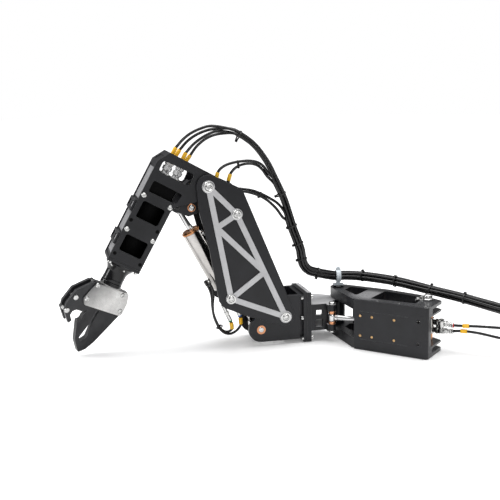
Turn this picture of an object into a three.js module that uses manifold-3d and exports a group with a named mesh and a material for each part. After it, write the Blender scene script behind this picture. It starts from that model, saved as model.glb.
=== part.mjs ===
// Five-function hydraulic manipulator arm: slew base, shoulder, elbow, wrist roll and a beak jaw.
// Millimetres, +Z up. The origin is the middle of the base's underside, +X runs along the base
// towards its hose end, +Y runs away from the side that carries the cover bolts.
import * as THREE from "three";
import { mergeVertices } from "three/addons/utils/BufferGeometryUtils.js";
import Module from "manifold-3d";

const wasm = await Module();
wasm.setup();

// ---------------------------------------------------------------- driving dimensions
const GAP = 0.3; // clearance left between neighbouring pieces
const RAD = Math.PI / 180;
const FACETS = 0.55; // share of the nominal facet count used on round faces

// base frame
const BASE_H = 120; // overall height of the base
const DECK = 25; // depth of the upper and lower decks
const PLATE_T = 8; // outer skin of each deck
const FIN_T = 5; // inner fin of each deck
const SIDE_T = 7; // side cover plate
const OX = -60, OY = -65; // near-left corner of the base in the part frame
const SLEW = [-154, 37]; // slew axis
const TAIL_PIN = [94, 11]; // tail pin of the slew cylinder
const CRANK = [-134, -35]; // crank pin of the slew bracket at rest
const ROD_Z = 60; // height of the slew cylinder
const ARM_TURN = 45.8; // arm plane from the base's long side at rest, degrees

// shoulder group, in the arm frame (x along the arm plane from the slew axis, z up)
const BRK_Z = [27, 93]; // slew bracket, bottom and top
const ARM_W = 54; // half width of bracket, clevis and forearm
const FLANGE_X = [-106, -97.2, -96.9, -88]; // the two bolted flange plates
const FLANGE_Z = [0.5, 124];
const SHOULDER = [-155, 70.7];
const CLEVIS_PIN = [-214, 40.2];

// boom
const ELBOW = [-334.8, 394.7];
const BOOM_HEAD = [-269.6, 327.2]; // pin of the shoulder cylinder's rod
const BOOM_FOOT = [-288.1, 125.8]; // tail pin of the elbow cylinder
const BOOM_Y = [54.6, 62.6]; // side plate, inner and outer face
const TRUSS_Y = [62.9, 65.9];
const TRUSS_W = 13;
const NODE_L = [-318, 298], NODE_R = [-206, 185];

// forearm, in its own frame (x down its axis from the elbow, z across)
const FORE_TILT = 60.5; // below the horizontal at rest, degrees
const FORE_L = 247;
const FORE_T = [-129.8, -49.2]; // side plate, far and near edge
const FORE_AX = -89.5; // wrist axis across the forearm
const FORE_Y = [46, 54];
const ROD_LUG = [75.1, -35.4]; // rod pin of the elbow cylinder

// jaw, in its own frame (x down the wrist axis, z across, y through its thickness)
const JAW_ROLL = -27; // wrist roll at rest, degrees
const JAW_Y = [7, 14]; // side plate, inner and outer face
const COVER_Y = [14.3, 17.3];
const FINGER_Y = 6.5; // half thickness of the moving finger
const JAW_PIVOT = [362, 49.5];

// cylinders
const SLEW_BORE = 17, SLEW_ROD = 6;
const SH_BORE = 19, SH_ROD = 7;
const EL_BORE = 22, EL_ROD = 6;
const WALL = 4; // barrel wall

// ---------------------------------------------------------------- helpers
function solid(geometry) {
  const g = geometry.index ? geometry.toNonIndexed() : geometry;
  const bare = mergeVertices(
    new THREE.BufferGeometry().setAttribute("position", g.getAttribute("position").clone()),
    1e-4,
  );
  const whole = [];
  const all = bare.index.array;
  for (let i = 0; i < all.length; i += 3)
    if (all[i] !== all[i + 1] && all[i + 1] !== all[i + 2] && all[i] !== all[i + 2]) whole.push(all[i], all[i + 1], all[i + 2]);
  const tri = new Uint32Array(whole);
  const build = () =>
    new wasm.Manifold(
      new wasm.Mesh({ numProp: 3, vertProperties: new Float32Array(bare.attributes.position.array), triVerts: tri }),
    );
  let m = build();
  if (m.volume() < 0) {
    for (let i = 0; i < tri.length; i += 3) [tri[i + 1], tri[i + 2]] = [tri[i + 2], tri[i + 1]];
    m = build();
  }
  return m;
}
const join = (list) => list.reduce((a, b) => a.add(b));
const cut = (a, list) => list.reduce((x, b) => x.subtract(b), a);

function shapeOf(points) {
  return new THREE.Shape(points.map(([x, y]) => new THREE.Vector2(x, y)));
}
// A flat outline in x,y between two heights.
function slab(points, z0, z1, holes = []) {
  const g = new THREE.ExtrudeGeometry(shapeOf(points), { depth: z1 - z0, bevelEnabled: false, steps: 1 });
  g.translate(0, 0, z0);
  return cut(solid(g), holes.map((h) => slab(h, z0 - 1, z1 + 1)));
}
// A flat outline in x,z between two y values.
function plate(points, y0, y1, holes = []) {
  const g = new THREE.ExtrudeGeometry(shapeOf(points), { depth: y1 - y0, bevelEnabled: false, steps: 1 });
  g.translate(0, 0, -y1);
  g.rotateX(Math.PI / 2);
  return cut(solid(g), holes.map((h) => plate(h, y0 - 1, y1 + 1)));
}
function box(x0, x1, y0, y1, z0, z1) {
  const g = new THREE.BoxGeometry(x1 - x0, y1 - y0, z1 - z0);
  g.translate((x0 + x1) / 2, (y0 + y1) / 2, (z0 + z1) / 2);
  return solid(g);
}
const facets = (n) => Math.max(12, Math.round(n * FACETS)); // facets on a round of nominal count n
function circle(cx, cy, r, nominal = 24) {
  const n = facets(nominal);
  return Array.from({ length: n }, (_, i) => {
    const a = (2 * Math.PI * (i + 0.5)) / n;
    return [cx + r * Math.cos(a), cy + r * Math.sin(a)];
  });
}
function arc(cx, cy, r, a0, a1, n) {
  return Array.from({ length: n + 1 }, (_, i) => {
    const a = (a0 + ((a1 - a0) * i) / n) * RAD;
    return [cx + r * Math.cos(a), cy + r * Math.sin(a)];
  });
}
// An outline with rounded corners: each point is [x, y, radius].
function rounded(points, nominal = 4) {
  const n = Math.max(1, Math.round(nominal * FACETS));
  const out = [];
  points.forEach(([x, y, r = 0], i) => {
    if (!r) return out.push([x, y]);
    const p = points[(i + points.length - 1) % points.length], q = points[(i + 1) % points.length];
    const a = new THREE.Vector2(p[0] - x, p[1] - y), b = new THREE.Vector2(q[0] - x, q[1] - y);
    const half = Math.acos(a.dot(b) / a.length() / b.length()) / 2;
    const d = r / Math.tan(half);
    a.normalize();
    b.normalize();
    const mid = a.clone().add(b).normalize();
    const c = new THREE.Vector2(x, y).add(mid.multiplyScalar(r / Math.sin(half)));
    const s = new THREE.Vector2(x, y).add(a.multiplyScalar(d)).sub(c), e = new THREE.Vector2(x, y).add(b.multiplyScalar(d)).sub(c);
    let a0 = s.angle(), a1 = e.angle();
    if (a1 - a0 > Math.PI) a1 -= 2 * Math.PI;
    if (a1 - a0 < -Math.PI) a1 += 2 * Math.PI;
    for (let k = 0; k <= n; k++) {
      const t = a0 + ((a1 - a0) * k) / n;
      out.push([c.x + r * Math.cos(t), c.y + r * Math.sin(t)]);
    }
  });
  return out;
}
// A straight strip with round ends between two points.
function strip([x0, y0], [x1, y1], w, n = 6) {
  const a = Math.atan2(y1 - y0, x1 - x0) / RAD;
  return [...arc(x0, y0, w / 2, a + 90, a + 270, n), ...arc(x1, y1, w / 2, a - 90, a + 90, n)];
}
// A turned profile of [radius, height] pairs about +Z, starting and ending on the axis.
function turned(profile, n = 24) {
  const g = new THREE.LatheGeometry(profile.map(([r, z]) => new THREE.Vector2(r, z)), facets(n));
  g.rotateX(Math.PI / 2);
  return solid(g);
}
function rod(r, z0, z1, n = 24) {
  return turned([[0, z0], [r, z0], [r, z1], [0, z1]], n);
}
// Turns a solid built along +Z so that it runs from a towards b.
function along(m, a, b) {
  const d = new THREE.Vector3(...b).sub(new THREE.Vector3(...a)).normalize();
  const q = new THREE.Quaternion().setFromUnitVectors(new THREE.Vector3(0, 0, 1), d);
  return m.transform(new THREE.Matrix4().compose(new THREE.Vector3(...a), q, new THREE.Vector3(1, 1, 1)).toArray());
}
// Turned pieces laid across the arm (axis +Y) at x,z.
function across(m, x, z) {
  return m.transform(new THREE.Matrix4().makeRotationX(-Math.PI / 2).premultiply(new THREE.Matrix4().makeTranslation(x, 0, z)).toArray());
}
function shift(m, x, y, z) {
  return m.transform(new THREE.Matrix4().makeTranslation(x, y, z).toArray());
}
// A tube swept along a smooth run of points.
function tube(points, r, steps, n = 8) {
  const ringPoints = Array.from({ length: n }, (_, i) => [r * Math.cos((2 * Math.PI * i) / n), r * Math.sin((2 * Math.PI * i) / n)]);
  const g = new THREE.ExtrudeGeometry(shapeOf(ringPoints), {
    steps,
    bevelEnabled: false,
    extrudePath: new THREE.CatmullRomCurve3(points.map((p) => new THREE.Vector3(...p)), false, "centripetal"),
  });
  return solid(g);
}

// ---------------------------------------------------------------- finishes
const FINISH = {
  anodised: [0x1c1d20, 0.5, 0.6],
  anodised_fore: [0x1a1b1e, 0.5, 0.6],
  truss: [0xb9bbbd, 0.4, 0.8],
  stainless: [0xc4c5c6, 0.25, 1.0],
  barrel: [0x9c9ea0, 0.25, 1.0],
  bronze: [0xb0784a, 0.35, 1.0],
  jaw_steel: [0x8f8e8b, 0.45, 0.9],
  rubber: [0x101012, 0.45, 0.0],
  black_steel: [0x0e0e10, 0.3, 0.7],
};
const root = new THREE.Group();
root.name = "hydraulic_arm";
const baseGroup = new THREE.Group();
const armGroup = new THREE.Group();
armGroup.position.set(SLEW[0], SLEW[1], 0);
armGroup.rotation.z = ARM_TURN * RAD;
const foreGroup = new THREE.Group();
foreGroup.position.set(ELBOW[0], 0, ELBOW[1]);
foreGroup.rotation.y = (180 - FORE_TILT) * RAD;
const jawGroup = new THREE.Group();
jawGroup.position.set(0, 0, FORE_AX);
jawGroup.rotation.x = JAW_ROLL * RAD;
root.add(baseGroup, armGroup);
armGroup.add(foreGroup);
foreGroup.add(jawGroup);

function put(group, name, m, finish) {
  const mesh = m.getMesh();
  const n = mesh.numProp;
  const v = new Float32Array(mesh.numVert * 3);
  for (let i = 0; i < mesh.numVert; i++) v.set(mesh.vertProperties.subarray(i * n, i * n + 3), i * 3);
  const g = new THREE.BufferGeometry()
    .setAttribute("position", new THREE.BufferAttribute(v, 3))
    .setIndex(new THREE.BufferAttribute(new Uint32Array(mesh.triVerts), 1));
  g.computeVertexNormals();
  const [color, roughness, metalness] = FINISH[finish];
  const o = new THREE.Mesh(g, new THREE.MeshStandardMaterial({ color, roughness, metalness }));
  o.name = name;
  group.add(o);
}

// ================================================================ BASE
// Plan outline, measured from the near-left corner: a long box with a tapered left end that
// leaves the slew bracket room to swing, and a chamfered right end.
const B = ([x, y, ...r]) => [x + OX, y + OY, ...r];
const deckOutline = rounded(
  [
    [-8.8, SIDE_T + GAP], [184, SIDE_T + GAP], [184, 86, 2], [122, 117, 6], [30, 132, 30],
    [-98, 133, 26], [-128, 106, 22],
  ].map(B),
  5,
);
const windowA = rounded([[-66, 82, 4], [-66, 115, 5], [-15, 112, 4], [-15, 43, 4]].map(B), 3);
const windowB = rounded([[29, 28, 4], [29, 111, 5], [113, 98, 8], [140, 70, 5], [140, 34, 5]].map(B), 3);
const slewHole = circle(...SLEW, 9 + GAP, 28), tailHole = circle(...TAIL_PIN, 8 + GAP, 24);
function deck(z0, skinLow) {
  const z1 = z0 + DECK;
  const open = skinLow ? [slewHole, tailHole] : [windowA, windowB, slewHole, tailHole];
  const body = slab(deckOutline, z0, z1, open);
  // the pocket between skin and fin, open at the hose end
  const p0 = skinLow ? z0 + PLATE_T : z0 + FIN_T, p1 = skinLow ? z1 - FIN_T : z1 - PLATE_T;
  const pocket = slab([[158, 30], [192, 30], [192, 90], [158, 112]].map(B), p0, p1);
  let out = cut(body, [pocket]);
  if (skinLow) {
    // the lower deck is hollowed from inside, its outer skin stays whole
    const well = (w) => slab(w, z0 + PLATE_T, z1 + 1);
    out = cut(out, [well(windowA), well(windowB)]);
    const bolts = [[-30, -40], [70, -40], [-30, 40], [70, 40]].map(([x, y]) => shift(rod(5.5, -1, 10, 20), x - 20, y, 0));
    out = cut(out, bolts);
  }
  return out;
}
put(baseGroup, "base_lower_deck", deck(0, true), "anodised");
put(baseGroup, "base_upper_deck", deck(BASE_H - DECK, false), "anodised");

const nearPanel = plate(rounded([[0, 0], [184, 0], [184, BASE_H], [0, BASE_H]].map(([x, z]) => [x + OX, z])), OY, OY + SIDE_T, [
  circle(161 + OX, 86, 4.3, 16), circle(161 + OX, 33.5, 4.3, 16),
]);
// outer corner at the hose end is rounded over
const cornerCut = cut(box(176 + OX, 186 + OX, OY - 1, OY + 7, -1, BASE_H + 1), [shift(rod(8, -2, BASE_H + 2, 32), 176 + OX, OY + 8, 0)]);
const grooves = [26, 94].map((z) => box(16 + OX, 136 + OX, OY - 1, OY + 0.5, z - 0.8, z + 0.8));
// the end post between the decks is one piece with the cover plate's rounded corner
const endPost = slab(rounded([[164, 1], [183.6, 1], [183.6, 26, 4], [164, 26, 4]].map(B)), DECK + GAP, BASE_H - DECK - GAP);
put(baseGroup, "base_side_panel", cut(join([nearPanel, endPost]), [cornerCut, ...grooves]), "anodised");

const farPanel = slab(rounded([[-62, 119], [28, 119], [108, 106], [109.5, 112], [29, 125.5], [-62, 125.5]].map(B)), DECK + GAP, BASE_H - DECK - GAP);
put(baseGroup, "base_far_panel", farPanel, "anodised");

put(
  baseGroup,
  "slew_pin",
  shift(turned([[0, GAP], [9, GAP], [9, BASE_H + GAP], [15, BASE_H + GAP], [15, BASE_H + 4.3], [13.5, BASE_H + 5], [0, BASE_H + 5]], 28), ...SLEW, 0),
  "stainless",
);
put(
  baseGroup,
  "slew_tail_pin",
  shift(
    turned([[0, GAP], [8, GAP], [8, BASE_H + GAP], [12.5, BASE_H + GAP], [12.5, BASE_H + 5], [10, BASE_H + 10], [5, BASE_H + 12.5], [0, BASE_H + 13]], 24),
    ...TAIL_PIN, 0,
  ),
  "stainless",
);
const ring = (ro, ri, z0, z1, n = 24) => cut(rod(ro, z0, z1, n), [rod(ri, z0 - 1, z1 + 1, n)]);
put(baseGroup, "tail_bush_upper", shift(ring(12, 8 + GAP, 78.5, BASE_H - DECK - GAP), ...TAIL_PIN, 0), "bronze");
put(baseGroup, "tail_bush_lower", shift(ring(12, 8 + GAP, DECK + GAP, 41.5), ...TAIL_PIN, 0), "bronze");

// hose clip standing over the slew axis: foot, upright and a ring that holds the hose bundle
const CLIP_Z = 148.5;
const clip = join([
  box(-13, 13, -9, 9, BASE_H + 5.3, BASE_H + 8.3),
  box(-4, 4, -6, 6, BASE_H + 8, CLIP_Z - 13),
  (() => {
    const band = cut(rod(15.6, -6, 6, 28), [rod(13.2, -7, 7, 28)]);
    return band.transform(new THREE.Matrix4().makeRotationY(Math.PI / 2).premultiply(new THREE.Matrix4().makeTranslation(0, 0, CLIP_Z)).toArray());
  })(),
]);
put(
  baseGroup,
  "hose_clip",
  clip.transform(new THREE.Matrix4().makeRotationZ(36 * RAD).premultiply(new THREE.Matrix4().makeTranslation(SLEW[0], SLEW[1], 0)).toArray()),
  "stainless",
);

// ================================================================ SLEW CYLINDER
const tailP = [TAIL_PIN[0], TAIL_PIN[1], ROD_Z], crankP = [CRANK[0], CRANK[1], ROD_Z];
const slewLen = Math.hypot(tailP[0] - crankP[0], tailP[1] - crankP[1]);
// laid out along +Z from the tail pin, then turned towards the crank pin
function laid(m) {
  return along(m, tailP, crankP);
}
{
  const eye = shift(rod(16, -18, 18, 28), ...TAIL_PIN, ROD_Z);
  const neck = laid(box(-14, 14, -14, 14, 4, 34));
  const tubeBody = laid(turned([[0, 30], [SLEW_BORE, 30], [SLEW_BORE, 160], [0, 160]], 28));
  // pressure chamber, then the guide bore through the gland
  const bore = laid(turned([[0, 40], [SLEW_BORE - WALL, 40], [SLEW_BORE - WALL, 148], [SLEW_ROD + GAP, 148], [SLEW_ROD + GAP, 170], [0, 170]], 28));
  const gland = laid(turned([[0, 159], [15.5, 159], [15.5, 166], [13, 168], [0, 168]], 24));
  put(
    baseGroup,
    "slew_barrel",
    cut(join([eye, neck, tubeBody, gland]), [bore, shift(rod(8 + GAP, 0, 120, 24), ...TAIL_PIN, 0)]),
    "barrel",
  );
  // ports and swivel elbows on the tail of the cylinder
  const toX = new THREE.Matrix4().makeRotationY(Math.PI / 2).toArray();
  const ports = join([
    ...[9, -9].flatMap((dz) => [shift(rod(6.5, 12, 30, 16).transform(toX), 0, 0, dz), shift(rod(9.3, -7, 7, 18), 33, 0, dz)]),
    box(26, 38, -4, 4, -6, 6),
  ]);
  put(baseGroup, "slew_ports", cut(shift(ports, TAIL_PIN[0], TAIL_PIN[1], ROD_Z), [shift(rod(16 + GAP, 0, 120, 28), ...TAIL_PIN, 0)]), "stainless");
  // rod with its eye between the crank lugs
  const rodEye = join([
    laid(turned([[0, 50], [SLEW_BORE - WALL - GAP, 50], [SLEW_BORE - WALL - GAP, 60], [SLEW_ROD, 60], [SLEW_ROD, slewLen - 6], [0, slewLen - 6]], 28)),
    shift(rod(9, -9, 9, 24), ...crankP),
  ]);
  put(baseGroup, "slew_rod", rodEye, "stainless");
}

// ================================================================ SLEW BRACKET AND CLEVIS
// crank position in the arm frame
const ca = Math.cos(ARM_TURN * RAD), sa = Math.sin(ARM_TURN * RAD);
const cdx = CRANK[0] - SLEW[0], cdy = CRANK[1] - SLEW[1];
const CRK = [cdx * ca + cdy * sa, -cdx * sa + cdy * ca];
{
  const [z0, z1] = BRK_Z;
  const web = rounded([[-87.7, -ARM_W], [-44, -ARM_W, 2], [-36, -38, 6], [-3, -16.5], [-3, 16.5], [-44, ARM_W, 2], [-87.7, ARM_W]], 3);
  const hub = rod(17, z0, z1, 32);
  const winNear = [rounded([[-77, 78, 2], [-59, 78, 2], [-59, 65, 2], [-77, 65, 2]], 2), rounded([[-76, 55, 2], [-58, 55, 2], [-58, 36, 2], [-76, 36, 2]], 2)];
  const wall = (y0, y1) => plate([[-87.7, z0], [-44, z0], [-44, z1], [-87.7, z1]], y0, y1, winNear);
  const lugAt = (a, b) => join([shift(rod(9, a, b, 24), CRK[0], CRK[1], 0), box(-50, CRK[0] + 7, CRK[1] - 4, -50, a, b), box(-50, CRK[0], CRK[1], -44, a, b)]);
  const bracket = join([
    slab(web, z1 - 9, z1), slab(web, z0, z0 + 9), hub,
    wall(-ARM_W, -ARM_W + 8), wall(ARM_W - 8, ARM_W), lugAt(76.5, z1), lugAt(z0, 43.5),
    box(-87.7, -80, -ARM_W, ARM_W, 56, 64),
  ]);
  // the bolted joint: bracket flange and clevis flange, both pierced in the middle
  const flange = (x0, x1) => box(x0, x1, -ARM_W - 1, ARM_W + 1, ...FLANGE_Z);
  const window = box(FLANGE_X[0] - 14, FLANGE_X[3] + 7, -24, 24, 36, 54), windowHigh = box(FLANGE_X[0] - 14, FLANGE_X[3] + 7, -24, 24, 66, 84);
  put(armGroup, "slew_bracket", cut(bracket.add(flange(FLANGE_X[2], FLANGE_X[3] + 0.5)), [window, windowHigh, rod(9 + GAP, 0, 120, 28), shift(rod(5 + GAP, 0, 120, 16), CRK[0], CRK[1], 0)]), "anodised");
  // crank pin in two stubs, one in each lug, and its thrust bushes
  put(armGroup, "crank_pin_upper", shift(turned([[0, 70], [5, 70], [5, z1 + GAP], [8.2, z1 + GAP], [8.2, z1 + 5], [6, z1 + 7], [0, z1 + 7]], 20), CRK[0], CRK[1], 0), "stainless");
  put(armGroup, "crank_pin_lower", shift(turned([[0, z0 - 4], [7.5, z0 - 4], [7.5, z0 - GAP], [5, z0 - GAP], [5, 50], [0, 50]], 20), CRK[0], CRK[1], 0), "stainless");
  // clevis: two cheeks and a back web
  const cheek = [
    [-106.3, 9.5], [-214, 9.5], ...arc(CLEVIS_PIN[0], CLEVIS_PIN[1], 30.5, 268, 128, 12), [-172, 119.7], [-106.3, 119.7],
  ];
  const holes = [circle(...SHOULDER, 9 + GAP, 24), circle(...CLEVIS_PIN, 8 + GAP, 24)];
  const clevis = join([
    plate(cheek, -ARM_W, -ARM_W + 11, holes), plate(cheek, ARM_W - 11, ARM_W, holes),
    box(-118, -106.3, -ARM_W, ARM_W, 9.5, 119.7), plate([[-150, 9.5], [-112, 9.5], [-112, 40], [-130, 18]], -ARM_W + 5, ARM_W - 5),
  ]);
  const relief = [-1, 1].map((s) => box(-117, -104, s > 0 ? ARM_W - 9 : -ARM_W - 1, s > 0 ? ARM_W + 1 : -ARM_W + 9, 14, 115));
  put(armGroup, "shoulder_clevis", cut(cut(clevis, relief).add(flange(FLANGE_X[0] - 1, FLANGE_X[1])), [window, windowHigh]), "anodised");
  put(armGroup, "clevis_pin", across(rod(8, -ARM_W, ARM_W, 24), ...CLEVIS_PIN), "stainless");
}

// ================================================================ BOOM
const boomOutline = [
  ...arc(...ELBOW, 28, 192, 64, 12),
  ...rounded([[-300, 408], [-254.5, 385.8, 6], [-154.6, 137]], 3).slice(1),
  ...arc(...SHOULDER, 23, 24, -108, 12),
  [-242.3, 75.9], [-302.6, 103], [-310, 109], [-316.6, 120], [-336.6, 249], [-357.4, 334],
];
{
  const holes = [circle(...ELBOW, 9 + GAP), circle(...SHOULDER, 9 + GAP), circle(...BOOM_FOOT, 7 + GAP, 20), circle(...BOOM_HEAD, 7 + GAP, 20)];
  put(armGroup, "boom_plate_near", plate(boomOutline, -BOOM_Y[1], -BOOM_Y[0], holes), "anodised");
  put(armGroup, "boom_plate_far", plate(boomOutline, BOOM_Y[0], BOOM_Y[1], holes), "anodised");
  // laced truss frame on each side
  const frame = (y0, y1) => {
    const runs = [[ELBOW, BOOM_FOOT], [ELBOW, BOOM_HEAD], [BOOM_HEAD, SHOULDER], [BOOM_FOOT, SHOULDER], [NODE_L, BOOM_HEAD], [NODE_L, NODE_R], [BOOM_FOOT, NODE_R]];
    const discs = [[ELBOW, 15], [SHOULDER, 15], [BOOM_HEAD, 14], [BOOM_FOOT, 13]];
    const all = join([...runs.map(([a, b]) => plate(strip(a, b, TRUSS_W), y0, y1)), ...discs.map(([c, r]) => plate(circle(...c, r, 28), y0, y1))]);
    return cut(all, [
      plate(circle(...ELBOW, 9 + GAP), y0 - 1, y1 + 1), plate(circle(...SHOULDER, 9 + GAP), y0 - 1, y1 + 1),
      plate(circle(...BOOM_HEAD, 7 + GAP, 20), y0 - 1, y1 + 1), plate(circle(...BOOM_FOOT, 7 + GAP, 20), y0 - 1, y1 + 1),
    ]);
  };
  put(armGroup, "boom_truss_near", frame(-TRUSS_Y[1], -TRUSS_Y[0]), "truss");
  put(armGroup, "boom_truss_far", frame(TRUSS_Y[0], TRUSS_Y[1]), "truss");
  // through pins with flat washer heads; the head pin is in two stubs beside the rod eye
  const yo = TRUSS_Y[1];
  const pinProfile = (r, hr) => [[0, -yo - 5], [hr - 4, -yo - 5], [hr - 4, -yo - 2.3], [hr, -yo - 2.3], [hr, -yo - GAP], [r, -yo - GAP], [r, yo + GAP], [hr, yo + GAP], [hr, yo + 2.3], [hr - 4, yo + 2.3], [hr - 4, yo + 5], [0, yo + 5]];
  put(armGroup, "elbow_pin", across(turned(pinProfile(9, 13), 24), ...ELBOW), "stainless");
  put(armGroup, "shoulder_pin", across(turned(pinProfile(9, 13), 24), ...SHOULDER), "stainless");
  put(armGroup, "boom_foot_pin", across(turned(pinProfile(7, 11.5), 24), ...BOOM_FOOT), "stainless");
  const stub = (s) => [[0, 14], [7, 14], [7, yo + GAP], [12, yo + GAP], [12, yo + 2.3], [8, yo + 2.3], [8, yo + 5], [0, yo + 5]].map(([r, z]) => [r, z * s]);
  put(armGroup, "boom_head_pin_near", across(turned(stub(-1).reverse(), 24), ...BOOM_HEAD), "stainless");
  put(armGroup, "boom_head_pin_far", across(turned(stub(1), 24), ...BOOM_HEAD), "stainless");
  // rear web between the side plates, along their back edge
  const dx = -154.6 - -254.5, dz = 137 - 385.8, len = Math.hypot(dx, dz), ux = dx / len, uz = dz / len;
  const at = (s, off) => [-254.5 + ux * s + uz * off, 385.8 + uz * s - ux * off];
  const web = plate([at(36, 4), at(215, 4), at(215, 10), at(36, 10)], -BOOM_Y[0] + GAP, BOOM_Y[0] - GAP);
  const slots = [60, 135].map((s) => plate([at(s, -2), at(s + 52, -2), at(s + 52, 16), at(s, 16)], -30, 30));
  put(armGroup, "boom_rear_web", cut(web, slots), "anodised");
}

// ================================================================ SHOULDER AND ELBOW CYLINDERS
function cylinder(prefix, tail, head, bore, rodR, gland, tailR, pinR, eyeW, bronzeGland, piston) {
  const a = [tail[0], 0, tail[1]], b = [head[0], 0, head[1]];
  const L = Math.hypot(head[0] - tail[0], head[1] - tail[1]);
  const lay = (m) => along(m, a, b);
  const barrel = cut(
    join([across(rod(tailR, -eyeW, eyeW, 28), ...tail), lay(box(-tailR + 2, tailR - 2, -eyeW + 1, eyeW - 1, 2, tailR + 12)), lay(rod(bore, tailR + 4, gland, 28))]),
    [
      across(rod(pinR + GAP, -60, 60, 24), ...tail),
      lay(turned([[0, tailR + 20], [bore - WALL, tailR + 20], [bore - WALL, gland - 12], [rodR + GAP, gland - 12], [rodR + GAP, gland + 1], [0, gland + 1]], 28)),
    ],
  );
  const g0 = bronzeGland ? gland + GAP : gland - 1;
  const cap = lay(cut(turned([[0, g0], [bore + 0.6, g0], [bore + 0.6, gland + 5], [bore - 2, gland + 8], [0, gland + 8]], 28), [rod(rodR + GAP, gland - 2, gland + 10, 20)]));
  put(armGroup, prefix + "_barrel", bronzeGland ? barrel : barrel.add(cap), "barrel");
  if (bronzeGland) put(armGroup, prefix + "_gland", cap, "bronze");
  put(armGroup, prefix + "_rod", join([
    lay(turned([[0, piston], [bore - WALL - GAP, piston], [bore - WALL - GAP, piston + 11], [rodR, piston + 11], [rodR, L - 20], [9, L - 20], [9, L - 4], [0, L - 4]], 28)),
    across(rod(12.5, -9, 9, 24), ...head),
  ]), "stainless");
}
// lengths from tail pin to head of gland suit the closed length of each cylinder
cylinder("shoulder_cyl", CLEVIS_PIN, BOOM_HEAD, SH_BORE, SH_ROD, 190, 19, 8, 20, false, 108);
const fx = -Math.cos(FORE_TILT * RAD), fz = -Math.sin(FORE_TILT * RAD); // down the forearm
const vx = Math.sin(FORE_TILT * RAD), vz = -Math.cos(FORE_TILT * RAD); // across it
const ELB_ROD = [ELBOW[0] + fx * ROD_LUG[0] + vx * ROD_LUG[1], ELBOW[1] + fz * ROD_LUG[0] + vz * ROD_LUG[1]];
cylinder("elbow_cyl", BOOM_FOOT, ELB_ROD, EL_BORE, EL_ROD, 174, 16, 7, 17, true, 45);

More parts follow.
